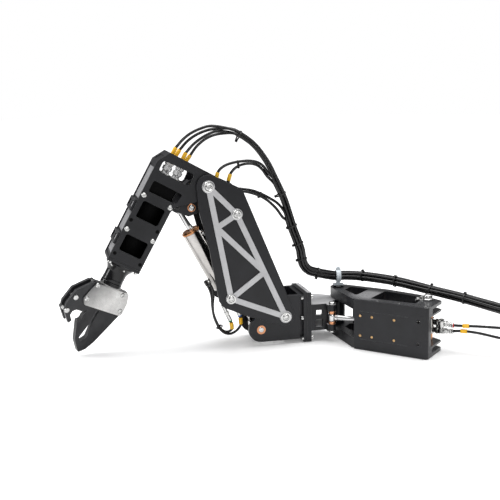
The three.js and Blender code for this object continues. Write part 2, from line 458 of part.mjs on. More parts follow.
// ================================================================ FOREARM
{
  const outline = [
    ...arc(0, 0, 29.5, 180, 38, 14), [75, -43.5], [92, FORE_T[1]], [FORE_L, FORE_T[1]], [FORE_L, FORE_T[0]], [0.5, FORE_T[0]], [-29.5, -112],
  ];
  const wins = [
    rounded([[-7, -117.5, 6], [-10, -39, 6], [19.5, -38, 6], [19.5, -117.5, 6]], 3),
    rounded([[43.5, -117, 3], [43.5, -43.5, 3], [70.5, -47, 3], [71.5, -117, 3]], 2),
    rounded([[94.5, -117, 3], [94.5, -62, 3], [136, -62, 3], [136, -117, 3]], 2),
    rounded([[180.5, -117, 3], [180.5, -62, 3], [221, -62, 3], [221, -117, 3]], 2),
    circle(0, 0, 9 + GAP),
  ];
  put(foreGroup, "forearm_plate_near", plate(outline, -FORE_Y[1], -FORE_Y[0], wins), "anodised_fore");
  put(foreGroup, "forearm_plate_far", plate(outline, FORE_Y[0], FORE_Y[1], wins), "anodised_fore");
  const yi = FORE_Y[0] - GAP;
  // frame between the side plates: chamfered head with a recess, front wall with pockets and
  // two raised ribs, back wall with two openings, and the foot that carries the wrist
  const head = cut(plate([[0.5, FORE_T[0]], [11, FORE_T[0]], [11, -122.5], [2, -122.5], [-29.5, -107], [-29.5, -112]], -yi, yi), [
    plate([[-4, -130], [-19, -121.2], [-16.6, -117], [-1.6, -125.8]], -yi + 12, yi - 12),
  ]);
  const front = cut(box(10, FORE_L, -yi, yi, FORE_T[0] + 2, FORE_T[0] + 8), [
    ...[[17, 98], [133, 183], [218, 241]].map(([a, b]) => box(a, b, -42, 42, FORE_T[0] - 1, FORE_T[0] + 4)),
  ]);
  const ribs = [101.5, 186.5].map((s) => cut(box(s, s + 28, -yi, yi, FORE_T[0] - 5, FORE_T[0] + 3), [box(s + 7, s + 21, -42, -12, FORE_T[0] - 6, FORE_T[0] - 2), box(s + 7, s + 21, 12, 42, FORE_T[0] - 6, FORE_T[0] - 2)]));
  const back = cut(box(96, FORE_L, -yi, yi, FORE_T[1] - 6, FORE_T[1]), [box(120, 150, -30, 30, FORE_T[1] - 8, FORE_T[1] + 1), box(180, 222, -30, 30, FORE_T[1] - 8, FORE_T[1] + 1)]);
  const foot = join([box(FORE_L - 8, FORE_L, -yi, yi, FORE_T[0] + 2, FORE_T[1]), box(FORE_L + GAP, FORE_L + 7, -ARM_W, ARM_W, FORE_T[0], FORE_T[1]), box(FORE_L - 1, FORE_L + 1, -yi, yi, FORE_T[0] + 2, FORE_T[1])]);
  put(foreGroup, "forearm_frame", join([head, front, ...ribs, back, foot]), "anodised_fore");
  // wrist motor and valve block inside
  const motor = join([
    shift(rod(31, 70, FORE_L - 8.5, 32).transform(new THREE.Matrix4().makeRotationY(Math.PI / 2).toArray()), 0, 0, FORE_AX),
    box(36, 71, -yi, yi, -119, -60),
  ]);
  put(foreGroup, "wrist_motor", motor, "anodised_fore");
  // port block: four adapters standing on one base bar
  const bar = box(31, 36 - GAP, -22, 22, -119, -52);
  const adapters = [0, 1, 2, 3].map((i) => {
    const fit = turned([[0, -26], [4.6, -26], [4.6, 2], [7, 2], [7, 14], [5.5, 14], [5.5, 33], [0, 33]], 12);
    return shift(fit.transform(new THREE.Matrix4().makeRotationY(Math.PI / 2).toArray()), 0, i % 2 ? 14 : -14, -101 + i * 13.5);
  });
  put(foreGroup, "wrist_port_block", join([bar, ...adapters]), "stainless");
  // lugs that take the elbow cylinder's rod, in one piece with the elbow hub
  const lug = [...arc(0, 0, 22, 215, 70, 9), [38, 19], [62, 19], [84, 0], ...arc(ROD_LUG[0], ROD_LUG[1], 15, 38, -58, 5), [71, -52.5], [34, -51.5], [22, -41]];
  const hubLug = join([plate(lug, -21, -10), plate(lug, 10, 21), across(rod(20, -yi, yi, 28), 0, 0), plate([[8, -38], [40, -50], [40, -32], [30, 6], [18, 16]], -20, 20)]);
  put(foreGroup, "forearm_rod_lug", cut(hubLug, [across(rod(9 + GAP, -60, 60, 24), 0, 0)]), "anodised_fore");
  const neck = turned([[0, 254.3], [35.5, 254.3], [35.5, 262], [33, 266], [25, 277], [24.5, 303], [0, 303]], 36);
  put(foreGroup, "wrist_neck", shift(neck.transform(new THREE.Matrix4().makeRotationY(Math.PI / 2).toArray()), 0, 0, FORE_AX), "black_steel");
}

// ================================================================ JAW
{
  const roll = (m) => m.transform(new THREE.Matrix4().makeRotationY(Math.PI / 2).toArray());
  const yoke = join([roll(turned([[0, 303.3], [26, 303.3], [26, 311], [24, 313], [0, 313]], 36)), box(312, 316, -JAW_Y[1], JAW_Y[1], -22, 22), box(315, 341, -JAW_Y[0] + GAP, JAW_Y[0] - GAP, -52, 52)]);
  put(jawGroup, "jaw_yoke", yoke, "jaw_steel");
  const side = rounded(
    [
      [316.3, -54], [348, -87, 4], [384, -95.5, 8], [404, -90, 12], [428, -66, 2], [419, -61, 2], [408, -71.5, 4], [398, -70.5, 4], [391.5, -63, 4], [391.5, -46],
      [385, -34, 6], [374, -30, 3], [374, 58, 8], [341, 58, 4], [316.3, 50, 2],
    ],
    3,
  );
  const pivot = circle(...JAW_PIVOT, 4 + GAP, 20);
  const pinHoles = [circle(364, -80, 3.4, 14), circle(399, -86, 3.4, 14)];
  put(jawGroup, "jaw_plate_near", plate(side, -JAW_Y[1], -JAW_Y[0], [pivot, ...pinHoles]), "jaw_steel");
  put(jawGroup, "jaw_plate_far", plate(side, JAW_Y[0], JAW_Y[1], [pivot, ...pinHoles]), "jaw_steel");
  const cover = rounded([[316, -47, 3], [334, -54, 6], [360, -62, 6], [374, -51, 5], [374, 58, 6], [341, 58, 4], [316, 50, 3]], 3);
  put(jawGroup, "jaw_cover_near", plate(cover, -COVER_Y[1], -COVER_Y[0], [pivot]), "jaw_steel");
  put(jawGroup, "jaw_cover_far", plate(cover, COVER_Y[0], COVER_Y[1], [pivot]), "jaw_steel");
  [[364, -80], [399, -86]].forEach(([x, z], i) => {
    const y = JAW_Y[1];
    const p = [[0, -y - 3.5], [3.6, -y - 3.5], [5.6, -y - 2], [5.6, -y - GAP], [3, -y - GAP], [3, -6.6], [5.2, -6.6], [5.2, 6.6], [3, 6.6], [3, y + GAP], [5.6, y + GAP], [5.6, y + 2], [3.6, y + 3.5], [0, y + 3.5]];
    put(jawGroup, "jaw_spacer_" + (i + 1), across(turned(p, 18), x, z), "stainless");
  });
  const yc = COVER_Y[1];
  put(jawGroup, "jaw_pivot_pin", across(turned([[0, -yc - 4], [5, -yc - 4], [7, -yc - 2.4], [7, -yc - GAP], [4, -yc - GAP], [4, yc + GAP], [7, yc + GAP], [7, yc + 2.4], [5, yc + 4], [0, yc + 4]], 20), ...JAW_PIVOT), "stainless");
  // moving finger: recessed throat for a T-bar, a long tapered relief slot and a pointed tip
  const finger = [
    ...arc(407, -44, 10, 8, 112, 8),
    ...rounded([[392, -30, 4], [368, -24, 8], [352, 20, 10], [350, 45, 6], [352, 60, 6], [372, 62, 6], [455, 30, 10], [479, 16, 6], [490.5, 1.5, 2.5], [466, -21.5, 8], [443, -31.5, 8], [422, -40.5, 3]], 4),
  ];
  const slot = rounded([[376.5, -4.5, 3.5], [380, 4, 3.5], [388, 1.5, 3], [412, 0.5, 3], [450, 3.5, 3], [465, -8, 3], [455, -15.5, 3], [412, -6, 3], [388, -5.5, 3]], 3);
  put(jawGroup, "jaw_finger", plate(finger, -FINGER_Y, FINGER_Y, [slot, circle(...JAW_PIVOT, 4 + GAP, 20)]), "jaw_steel");
}

// ================================================================ HOSES
// Bundled supply hoses, drawn as one round bundle per run; they leave the forearm's head, arch
// over the elbow, drop behind the boom, pass the clip over the slew axis and leave past the base.
{
  const r = 11;
  const P = (x, z, y = 0) => [x, y, z];
  put(foreGroup, "hose_bundle_fore", tube([[-36, 0, -81], [-48.1, 0, -79.1], [-70.3, 0, -74.4], [-90.9, 0, -65.4], [-109.5, 0, -50.7], [-124.2, 0, -34.9], [-136.3, 0, -9.5], [-138.9, 0, 23.5], [-137.2, 0, 52], [-133.5, 0, 66.5]], r, 18), "rubber");
  put(armGroup, "hose_bundle_boom", tube([P(-209.3, 476), P(-200, 464.3), P(-184, 441), P(-162, 396), P(-142, 352), P(-129, 314), P(-117, 274), P(-105.5, 243)], r, 14), "rubber");
  put(armGroup, "hose_bundle_slew", tube([P(-104.3, 239.5), P(-98, 220), P(-96, 200), P(-91, 182), P(-79, 167), P(-57, 158.5), P(-38, 152.4), P(-23.4, 149.9)], r, 14), "rubber");
  put(baseGroup, "hose_bundle_tail", tube([[-168.4, 22.2, 149.5], [-154, 36.6, 148.6], [-134, 47, 149.4], [-100, 51, 150.5], [-39, 46, 150], [13, 42, 147], [89, 37, 138], [162, 36, 130], [210, 36, 120], [256, 36, 115], [320, 38, 104], [380, 42, 92]], r, 24), "rubber");
  put(armGroup, "hose_branch_upper", tube([P(-304, 401, -8), P(-300, 420, -8), P(-288, 433, -6), P(-262, 441, -4), P(-232, 442, -2), P(-209, 438, -2)], 7, 12), "rubber");
  put(armGroup, "hose_branch_lower", tube([P(-252, 378), P(-235, 375.5), P(-214, 370), P(-194, 361), P(-175, 349), P(-163, 340)], 7, 10), "rubber");
  put(armGroup, "hose_loop", tube([P(-292, 84, -22), P(-284, 60, -22), P(-281, 44, -22), P(-291, 33, -22), P(-306, 40, -22), P(-319, 66, -22), P(-325, 92, -23), P(-327, 120, -24), P(-331, 140, -26), P(-338, 155, -28)], 5, 16), "rubber");
  put(baseGroup, "hose_slew_upper", tube([[140, 12, 69], [172, 16, 71], [210, 20, 74], [262, 22, 78], [330, 26, 80]], 4, 12), "rubber");
  put(baseGroup, "hose_slew_lower", tube([[140, 12, 51], [170, 15, 55], [206, 18, 56], [262, 20, 51], [330, 24, 46]], 4, 12), "rubber");
}

export default root;
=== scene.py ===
import math

import bpy
import bmesh
from mathutils import Matrix, Vector


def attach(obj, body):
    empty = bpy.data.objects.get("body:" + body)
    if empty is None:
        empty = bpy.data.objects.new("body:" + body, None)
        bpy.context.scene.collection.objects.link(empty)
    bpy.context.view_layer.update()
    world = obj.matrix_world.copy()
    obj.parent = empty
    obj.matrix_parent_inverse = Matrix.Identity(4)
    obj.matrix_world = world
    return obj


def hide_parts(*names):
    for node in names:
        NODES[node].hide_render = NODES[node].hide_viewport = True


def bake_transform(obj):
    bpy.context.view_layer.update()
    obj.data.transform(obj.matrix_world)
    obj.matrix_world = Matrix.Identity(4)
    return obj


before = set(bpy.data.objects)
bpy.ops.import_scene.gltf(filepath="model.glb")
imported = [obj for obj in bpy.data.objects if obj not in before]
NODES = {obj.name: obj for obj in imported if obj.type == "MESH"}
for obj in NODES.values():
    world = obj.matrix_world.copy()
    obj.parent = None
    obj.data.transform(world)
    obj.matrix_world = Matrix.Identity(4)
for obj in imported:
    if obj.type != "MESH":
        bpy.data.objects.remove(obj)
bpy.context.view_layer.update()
MM = 0.001
RAD = math.pi / 180

# ------------------------------------------------------------------ frames, the same as the CAD's
T = lambda x, y, z: Matrix.Translation((x, y, z))
R = lambda deg, axis: Matrix.Rotation(deg * RAD, 4, axis)
BASE = Matrix.Identity(4)
ARM = T(-154, 37, 0) @ R(45.8, "Z")
FORE = ARM @ T(-334.8, 0, 394.7) @ R(119.5, "Y")
JAW = FORE @ T(0, 0, -89.5) @ R(-27, "X")
SCALE = Matrix.Scale(MM, 4)


def M_point(M, p):
    return (SCALE @ M @ Vector(p)).copy()


# ------------------------------------------------------------------ camera
scene = bpy.context.scene
cam_data = bpy.data.cameras.new("camera")
cam = bpy.data.objects.new("camera", cam_data)
scene.collection.objects.link(cam)
fwd = Vector((-0.5364, 0.8229, -0.1874)).normalized()
right0 = Vector((0.8377, 0.5461, 0.0)).normalized()
down0 = fwd.cross(right0).normalized()
roll = -1.3 * RAD
right = (math.cos(roll) * right0 - math.sin(roll) * down0).normalized()
down = fwd.cross(right).normalized()
cam.matrix_world = Matrix((
    (right.x, -down.x, -fwd.x, 0.8097),
    (right.y, -down.y, -fwd.y, -1.8441),
    (right.z, -down.z, -fwd.z, 0.6197),
    (0, 0, 0, 1),
))
cam_data.sensor_width = 36
cam_data.sensor_fit = "HORIZONTAL"
cam_data.lens = 857 / 500 * 36
cam_data.clip_start, cam_data.clip_end = 0.05, 60
scene.camera = cam

# ------------------------------------------------------------------ materials
def material(name):
    m = bpy.data.materials.new(name)
    m.use_nodes = True
    t = m.node_tree
    for n in list(t.nodes):
        t.nodes.remove(n)
    out = t.nodes.new("ShaderNodeOutputMaterial")
    b = t.nodes.new("ShaderNodeBsdfPrincipled")
    t.links.new(b.outputs[0], out.inputs[0])
    return m, t, b


def node(t, kind, **inputs):
    n = t.nodes.new(kind)
    for k, v in inputs.items():
        if k.startswith("_"):
            setattr(n, k[1:], v)
        else:
            n.inputs[k.replace("_", " ")].default_value = v
    return n


def coords(t, scale=(1, 1, 1), rot=(0, 0, 0)):
    tc = t.nodes.new("ShaderNodeTexCoord")
    mp = t.nodes.new("ShaderNodeMapping")
    mp.inputs["Scale"].default_value = scale
    mp.inputs["Rotation"].default_value = rot
    t.links.new(tc.outputs["Object"], mp.inputs["Vector"])
    return mp.outputs[0]


def noise(t, vec, scale, detail=4, rough=0.55):
    n = t.nodes.new("ShaderNodeTexNoise")
    n.inputs["Scale"].default_value = scale
    n.inputs["Detail"].default_value = detail
    n.inputs["Roughness"].default_value = rough
    t.links.new(vec, n.inputs["Vector"])
    return n.outputs["Fac"]


def ramp(t, fac, lo, hi, a, b):
    """Maps fac from lo..hi to a..b, clamped."""
    n = t.nodes.new("ShaderNodeMapRange")
    n.inputs["From Min"].default_value = lo
    n.inputs["From Max"].default_value = hi
    n.inputs["To Min"].default_value = a
    n.inputs["To Max"].default_value = b
    t.links.new(fac, n.inputs["Value"])
    return n.outputs["Result"]


def mix(t, fac, a, b):
    n = t.nodes.new("ShaderNodeMix")
    n.data_type = "RGBA"
    for i, v in ((6, a), (7, b)):
        if isinstance(v, tuple):
            n.inputs[i].default_value = (*v, 1)
        else:
            t.links.new(v, n.inputs[i])
    t.links.new(fac, n.inputs[0])
    return n.outputs[2]


def mul(t, a, b):
    n = t.nodes.new("ShaderNodeMath")
    n.operation = "MULTIPLY"
    t.links.new(a, n.inputs[0])
    if isinstance(b, float):
        n.inputs[1].default_value = b
    else:
        t.links.new(b, n.inputs[1])
    return n.outputs[0]


def bump(t, height, strength, distance, normal=None):
    n = t.nodes.new("ShaderNodeBump")
    n.inputs["Strength"].default_value = strength
    n.inputs["Distance"].default_value = distance
    t.links.new(height, n.inputs["Height"])
    if normal is not None:
        t.links.new(normal, n.inputs["Normal"])
    return n.outputs[0]


def edge_mask(t, radius):
    """1 on outer edges, which are made paler by wear and by a painted edge highlight; 0 on flats."""
    bv = t.nodes.new("ShaderNodeBevel")
    bv.samples = 4
    bv.inputs["Radius"].default_value = radius
    g = t.nodes.new("ShaderNodeNewGeometry")
    d = t.nodes.new("ShaderNodeVectorMath")
    d.operation = "DOT_PRODUCT"
    t.links.new(bv.outputs[0], d.inputs[0])
    t.links.new(g.outputs["Normal"], d.inputs[1])
    return ramp(t, d.outputs["Value"], 0.995, 0.80, 0.0, 1.0)


def anodised(name, base, lift, rough, grain=2600, edge=0.10, metal=0.0, spec=0.42, top=0.0, at=None, width=0.02):
    """Hard-anodised aluminium: near-black, fine blast grain, cloudy tone, edges paler from wear and from a painted
    edge highlight.
    """
    m, t, b = material(name)
    v = coords(t)
    cloud = noise(t, v, 22, 3)
    fine = noise(t, v, 420, 2)
    tone = mix(t, ramp(t, cloud, 0.35, 0.68, 0, 1), base, lift)
    # edges paler from real wear, and a painted edge highlight where the chamfers would catch the light
    worn_and_highlit_edges = mul(t, edge_mask(t, 0.0007), ramp(t, noise(t, v, 160, 3), 0.35, 0.65, 0.25, 1.0))
    # top: strength of a painted sheen on upward faces; at, width: the spot where that painted sheen is brightest
    if top:
        # painted sheen: upward faces are painted paler, as if catching the light from above, most of all round one
        # place along the piece
        tc = t.nodes.new("ShaderNodeTexCoord")
        sn = t.nodes.new("ShaderNodeSeparateXYZ")
        t.links.new(tc.outputs["Normal"], sn.inputs[0])
        up = mul(t, ramp(t, sn.outputs["Z"], 0.85, 0.98, 0, 1), ramp(t, fine, 0.25, 0.75, 0.75, 1.0))
        if at is not None:
            d = t.nodes.new("ShaderNodeVectorMath")
            d.operation = "DISTANCE"
            t.links.new(tc.outputs["Object"], d.inputs[0])
            d.inputs[1].default_value = at
            up = mul(t, up, ramp(t, d.outputs["Value"], width, width * 2.2, 1.0, 0.12))
        tone = mix(t, up, tone, (top, top, top * 1.02))
    t.links.new(mix(t, mul(t, worn_and_highlit_edges, 1.0), tone, (edge, edge * 1.0, edge * 1.03)), b.inputs["Base Color"])
    t.links.new(ramp(t, fine, 0.3, 0.7, rough - 0.05, rough + 0.06), b.inputs["Roughness"])
    b.inputs["Metallic"].default_value = metal
    b.inputs["Specular IOR Level"].default_value = spec
    t.links.new(bump(t, noise(t, v, grain, 2), 0.14, 0.0002), b.inputs["Normal"])
    return m


def brushed(name, dark, light, rough, stretch=(6, 6, 420), rot=(0, 0, 0), strength=0.10, metal=1.0, scale=9.0):
    """Brushed or ground metal: long fine streaks, smudged tone."""
    m, t, b = material(name)
    v = coords(t)
    s = coords(t, stretch, rot)
    streak = noise(t, s, scale, 5, 0.6)
    smudge = noise(t, v, 35, 4)
    both = t.nodes.new("ShaderNodeMath")
    both.operation = "MULTIPLY_ADD"
    both.inputs[1].default_value = 0.6
    t.links.new(streak, both.inputs[0])
    t.links.new(mul(t, smudge, 0.4), both.inputs[2])
    f = ramp(t, both.outputs[0], 0.33, 0.66, 0, 1)
    t.links.new(mix(t, f, dark, light), b.inputs["Base Color"])
    t.links.new(ramp(t, both.outputs[0], 0.33, 0.66, rough + 0.07, rough - 0.05), b.inputs["Roughness"])
    b.inputs["Metallic"].default_value = metal
    t.links.new(bump(t, streak, strength, 0.0002), b.inputs["Normal"])
    return m


def plastic(name, a, c, rough, grain=900, strength=0.08, coat=0.0):
    m, t, b = material(name)
    v = coords(t)
    t.links.new(mix(t, ramp(t, noise(t, v, 60, 4), 0.35, 0.65, 0, 1), a, c), b.inputs["Base Color"])
    t.links.new(ramp(t, noise(t, v, 240, 3), 0.3, 0.7, rough - 0.06, rough + 0.08), b.inputs["Roughness"])
    b.inputs["Coat Weight"].default_value = coat
    b.inputs["Coat Roughness"].default_value = 0.2
    t.links.new(bump(t, noise(t, v, grain, 3), strength, 0.0002), b.inputs["Normal"])
    return m


ANO = anodised("anodised", (0.0045, 0.0047, 0.0066), (0.0085, 0.0089, 0.0118), 0.34, edge=0.14)
ANO_FORE = anodised("anodised_fore", (0.0050, 0.0052, 0.0068), (0.0095, 0.0098, 0.0122), 0.35, edge=0.15)
# deck and bracket: copies of the anodised finish with a painted sheen on upward faces; the deck's sheen peaks round
# one spot and its pale edges are partly a painted edge highlight
ANO_DECK_PAINTED_SHEEN = anodised("anodised_deck_painted_sheen", (0.012, 0.0125, 0.0145), (0.021, 0.0215, 0.024), 0.30, edge=0.34, top=0.27, at=(-0.045, -0.005, 0.12), width=0.026)
ANO_BRACKET_PAINTED_SHEEN = anodised("anodised_bracket_painted_sheen", (0.0045, 0.0047, 0.0066), (0.0085, 0.0089, 0.0118), 0.34, edge=0.14, top=0.52)
INNER = anodised("dark_inner", (0.0008, 0.0008, 0.0009), (0.0016, 0.0016, 0.0017), 0.75, edge=0.002, spec=0.10)
JAWDARK = anodised("jaw_dark", (0.020, 0.0205, 0.0225), (0.036, 0.0365, 0.039), 0.34, grain=1800, edge=0.26, metal=0.2)
BLACKSTEEL = anodised("black_steel", (0.0015, 0.0015, 0.0020), (0.0032, 0.0032, 0.0042), 0.17, grain=1500, edge=0.03)
TRUSS = brushed("truss", (0.46, 0.46, 0.47), (0.60, 0.60, 0.61), 0.44, (300, 300, 14), strength=0.07, metal=0.6)
# the jaw steel later gets a painted shade-to-highlight ramp across the cover plates
COVER_PAINTED_HIGHLIGHT = brushed("jaw_steel", (0.50, 0.49, 0.48), (0.90, 0.895, 0.88), 0.30, (260, 260, 10), strength=0.16, scale=7.0)
# painted reflection: a pale grey standing for the forearm's black anodised front faces lit from above
PAINTED_REFLECTION_PANEL = brushed("front_wall_painted_reflection", (0.30, 0.30, 0.31), (0.42, 0.42, 0.43), 0.45, (200, 200, 12), strength=0.06, metal=0.3)
STEEL = brushed("stainless", (0.52, 0.52, 0.51), (0.78, 0.78, 0.77), 0.22, (30, 30, 500), strength=0.05)
ROD = brushed("rod_chrome", (0.60, 0.60, 0.60), (0.76, 0.76, 0.76), 0.10, (20, 20, 300), strength=0.03)
BARREL = brushed("barrel", (0.40, 0.385, 0.37), (0.62, 0.60, 0.58), 0.13, (20, 20, 260), strength=0.04)
BRONZE = brushed("bronze", (0.45, 0.19, 0.08), (0.70, 0.34, 0.16), 0.30, (30, 30, 300), strength=0.05)
COPPER = brushed("copper_ring", (0.50, 0.20, 0.09), (0.74, 0.36, 0.20), 0.28, (30, 30, 300), strength=0.05)
BRASS = brushed("brass", (0.50, 0.30, 0.12), (0.74, 0.50, 0.26), 0.30, (40, 40, 200), strength=0.05)
CLIP = plastic("clip_pale", (0.50, 0.56, 0.60), (0.66, 0.71, 0.75), 0.28, coat=0.3)
RUBBER = plastic("hose_rubber", (0.0035, 0.0035, 0.0038), (0.0065, 0.0065, 0.0070), 0.22, grain=260, strength=0.035, coat=0.0)
TIE = plastic("tie_black", (0.004, 0.004, 0.004), (0.008, 0.008, 0.008), 0.36)
SLEEVE = plastic("sleeve_yellow", (0.98, 0.50, 0.008), (1.0, 0.60, 0.03), 0.40, grain=500, strength=0.05)
FITTING = brushed("bright_fitting", (0.78, 0.78, 0.78), (0.95, 0.95, 0.95), 0.26, (30, 30, 400), strength=0.05, metal=0.35)
RED = plastic("mark_red", (0.45, 0.01, 0.01), (0.62, 0.03, 0.02), 0.3)
GREEN = plastic("mark_green", (0.01, 0.22, 0.05), (0.02, 0.36, 0.10), 0.3)
BLUE = plastic("mark_blue", (0.01, 0.06, 0.38), (0.02, 0.11, 0.52), 0.3)


# ------------------------------------------------------------------ mesh helpers (millimetres in, metres out)
class Build:
    """Collects faces of one piece, in the part frame, in millimetres."""

    def __init__(self):
        self.v, self.f, self.m = [], [], []

    def rings(self, rings, M, cap=(True, True), mat=0):
        """rings: lists of points of equal length, joined one to the next."""
        base = len(self.v)
        n = len(rings[0])
        for r in rings:
            self.v += [M @ Vector(p) for p in r]
        for i in range(len(rings) - 1):
            for k in range(n):
                a = base + i * n + k
                b = base + i * n + (k + 1) % n
                self.f.append((a, b, b + n, a + n))
                self.m.append(mat)
        if cap[0]:
            self.f.append(tuple(base + k for k in reversed(range(n))))
            self.m.append(mat)
        if cap[1]:
            o = base + (len(rings) - 1) * n
            self.f.append(tuple(o + k for k in range(n)))
            self.m.append(mat)
        return self

    def turn(self, profile, M, seg=48, mat=0, closed=False):
        """Turned about local Z. profile rows: (r, z) or (r, z, 'h') for a hexagonal section."""
        rings = []
        rows = list(profile) + ([profile[0]] if closed else [])
        for row in rows:
            r, z = row[0], row[1]
            hexa = len(row) > 2
            ring = []
            for k in range(seg):
                a = 2 * math.pi * k / seg
                q = r
                if hexa:
                    w = (a % (math.pi / 3)) - math.pi / 6
                    q = r / math.cos(w)
                ring.append((q * math.cos(a), q * math.sin(a), z))
            rings.append(ring)
        return self.rings(rings, M, cap=(not closed, not closed), mat=mat)

    def box(self, x0, x1, y0, y1, z0, z1, M, mat=0):
        return self.rings([[(x0, y0, z), (x1, y0, z), (x1, y1, z), (x0, y1, z)] for z in (z0, z1)], M, mat=mat)

    def prism(self, outline, h0, h1, M, mat=0):
        """A flat outline in local x,y between two local heights."""
        return self.rings([[(x, y, h) for x, y in outline] for h in (h0, h1)], M, mat=mat)

    def make(self, name, body, mats, bevel=0.0, angle=40, replaces=(), smooth=True, blend=None, segs=2, weld=False):
        me = bpy.data.meshes.new(name)
        me.from_pydata([(p * MM)[:] for p in self.v], [], self.f)
        mats = mats if isinstance(mats, (list, tuple)) else [mats]
        for m in mats:
            me.materials.append(m)
        for p, k in zip(me.polygons, self.m):
            p.material_index = k
            p.use_smooth = smooth
        bm = bmesh.new()
        bm.from_mesh(me)
        if weld:
            bmesh.ops.remove_doubles(bm, verts=bm.verts, dist=1e-6)
        bmesh.ops.recalc_face_normals(bm, faces=bm.faces)
        bm.to_mesh(me)
        bm.free()
        if smooth:
            me.set_sharp_from_angle(angle=angle * RAD)
        ob = bpy.data.objects.new(name, me)
        scene.collection.objects.link(ob)
        if bevel:
            b = ob.modifiers.new("edge", "BEVEL")
            b.width = bevel * MM
            b.segments = segs
            b.limit_method = "ANGLE"
            b.angle_limit = angle * RAD
            b.harden_normals = True
            b.use_clamp_overlap = True
        if blend:
            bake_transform(ob)
        else:
            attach(ob, body)
        if replaces:
            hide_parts(*replaces)
        return ob


def across(x, z, M=ARM, y=0):
    """Local Z of a turned piece laid along +Y of the arm at x, z."""
    return M @ T(x, y, z) @ R(-90, "X")


def along(a, b, M):
    d = (Vector(b) - Vector(a)).normalized()
    q = Vector((0, 0, 1)).rotation_difference(d)
    return M @ Matrix.Translation(Vector(a)) @ q.to_matrix().to_4x4()


def cad(name, mat, bevel=0.7, angle=42, segs=2):
    """A CAD solid keeps its mesh: it gets its finish, broken edges and smooth rounds."""
    o = NODES[name]
    me = o.data
    me.materials.clear()
    me.materials.append(mat)
    if "custom_normal" in me.attributes:
        me.attributes.remove(me.attributes["custom_normal"])
    me.polygons.foreach_set("use_smooth", [True] * len(me.polygons))
    me.polygons.foreach_set("material_index", [0] * len(me.polygons))
    w = o.modifiers.new("weld", "WELD")
    w.merge_threshold = 1e-5
    d = o.modifiers.new("flat", "DECIMATE")
    d.decimate_type = "DISSOLVE"
    d.angle_limit = 0.4 * RAD
    if bevel:
        b = o.modifiers.new("edge", "BEVEL")
        b.width = bevel * MM
        b.segments = segs
        b.limit_method = "ANGLE"
        b.angle_limit = angle * RAD
        b.harden_normals = True
        b.use_clamp_overlap = True
    return o


def screw(B, M, r=5.0, h=2.8, socket=0.48, mat=0, cap=False, seg=36):
    """A socket screw standing on local z = 0: button head, or tall cylinder head when cap is set."""
    if cap:
        prof = [(r, 0), (r, h - 0.6), (r - 0.6, h)]
    else:
        prof = [(r, 0), (r, 0.5), (r * 0.94, h * 0.5), (r * 0.78, h * 0.84), (r * 0.62, h)]
    s = r * socket
    prof += [(s * 1.12, h), (s, h - 0.25, "h"), (s, h - h * 0.62, "h"), (s * 0.3, h - h * 0.66)]
    B.turn(prof, M, seg=seg, mat=mat)


def spline(points, step):
    """Centripetal-like Catmull-Rom through the points, resampled every step mm."""
    P = [Vector(p) for p in points]
    P = [P[0] * 2 - P[1]] + P + [P[-1] * 2 - P[-2]]
    out = []
    for i in range(1, len(P) - 2):
        p0, p1, p2, p3 = P[i - 1], P[i], P[i + 1], P[i + 2]
        t0 = 0.0
        t1 = t0 + max((p1 - p0).length, 1e-6) ** 0.5
        t2 = t1 + max((p2 - p1).length, 1e-6) ** 0.5
        t3 = t2 + max((p3 - p2).length, 1e-6) ** 0.5
        for k in range(24):
            t = t1 + (t2 - t1) * k / 24
            a1 = p0 * ((t1 - t) / (t1 - t0)) + p1 * ((t - t0) / (t1 - t0))
            a2 = p1 * ((t2 - t) / (t2 - t1)) + p2 * ((t - t1) / (t2 - t1))
            a3 = p2 * ((t3 - t) / (t3 - t2)) + p3 * ((t - t2) / (t3 - t2))
            b1 = a1 * ((t2 - t) / (t2 - t0)) + a2 * ((t - t0) / (t2 - t0))
            b2 = a2 * ((t3 - t) / (t3 - t1)) + a3 * ((t - t1) / (t3 - t1))
            out.append(b1 * ((t2 - t) / (t2 - t1)) + b2 * ((t - t1) / (t2 - t1)))
    out.append(P[-2])
    cum = [0.0]
    for a, b in zip(out, out[1:]):
        cum.append(cum[-1] + (b - a).length)
    n = max(2, round(cum[-1] / step))
    res, j = [], 0
    for k in range(n + 1):
        s = cum[-1] * k / n
        while j < len(cum) - 2 and cum[j + 1] < s:
            j += 1
        f = (s - cum[j]) / max(cum[j + 1] - cum[j], 1e-9)
        res.append(out[j].lerp(out[j + 1], min(max(f, 0), 1)))
    return res


def frames(path):
    """Rings' axes carried along the path without twist."""
    tang = []
    for i in range(len(path)):
        a, b = path[max(i - 1, 0)], path[min(i + 1, len(path) - 1)]
        tang.append((b - a).normalized())
    up = Vector((0.3, 0.2, 0.93))
    n = (up - tang[0] * up.dot(tang[0])).normalized()
    out = []
    for t in tang:
        n = (n - t * n.dot(t)).normalized()
        out.append((t, n, t.cross(n)))
    return out


def tube(B, path, r, seg=14, fr=None, i0=0, i1=None, mat=0, cap=(True, True), wave=0.0):
    fr = fr or frames(path)
    i1 = len(path) - 1 if i1 is None else i1
    rings = []
    for i in range(i0, i1 + 1):
        _, n, b = fr[i]
        rings.append([path[i] + (n * math.cos(2 * math.pi * k / seg) + b * math.sin(2 * math.pi * k / seg)) * r for k in range(seg)])
    B.rings(rings, BASE, cap=cap, mat=mat)


def sleeve_at(B, path, s, length, prof, mat=0, seg=24, fr=None):
    """A turned piece standing on a hose: prof rows (radius, share of length) laid straight from distance s."""
    d = 0.0
    a = path[0]
    for p, q in zip(path, path[1:]):
        L = (q - p).length
        if d + L >= s:
            a = p.lerp(q, (s - d) / L)
            break
        d += L
    d, b = 0.0, path[-1]
    for p, q in zip(path, path[1:]):
        L = (q - p).length
        if d + L >= s + length:
            b = p.lerp(q, (s + length - d) / L)
            break
        d += L
    B.turn([(r, f * length) for r, f in prof], along(a, b, BASE), seg=seg, mat=mat)


SLEEVE_PROF = [(3.2, 0), (4.5, 0.02), (4.8, 0.06), (4.75, 0.5), (4.8, 0.94), (4.5, 0.98), (3.2, 1)]
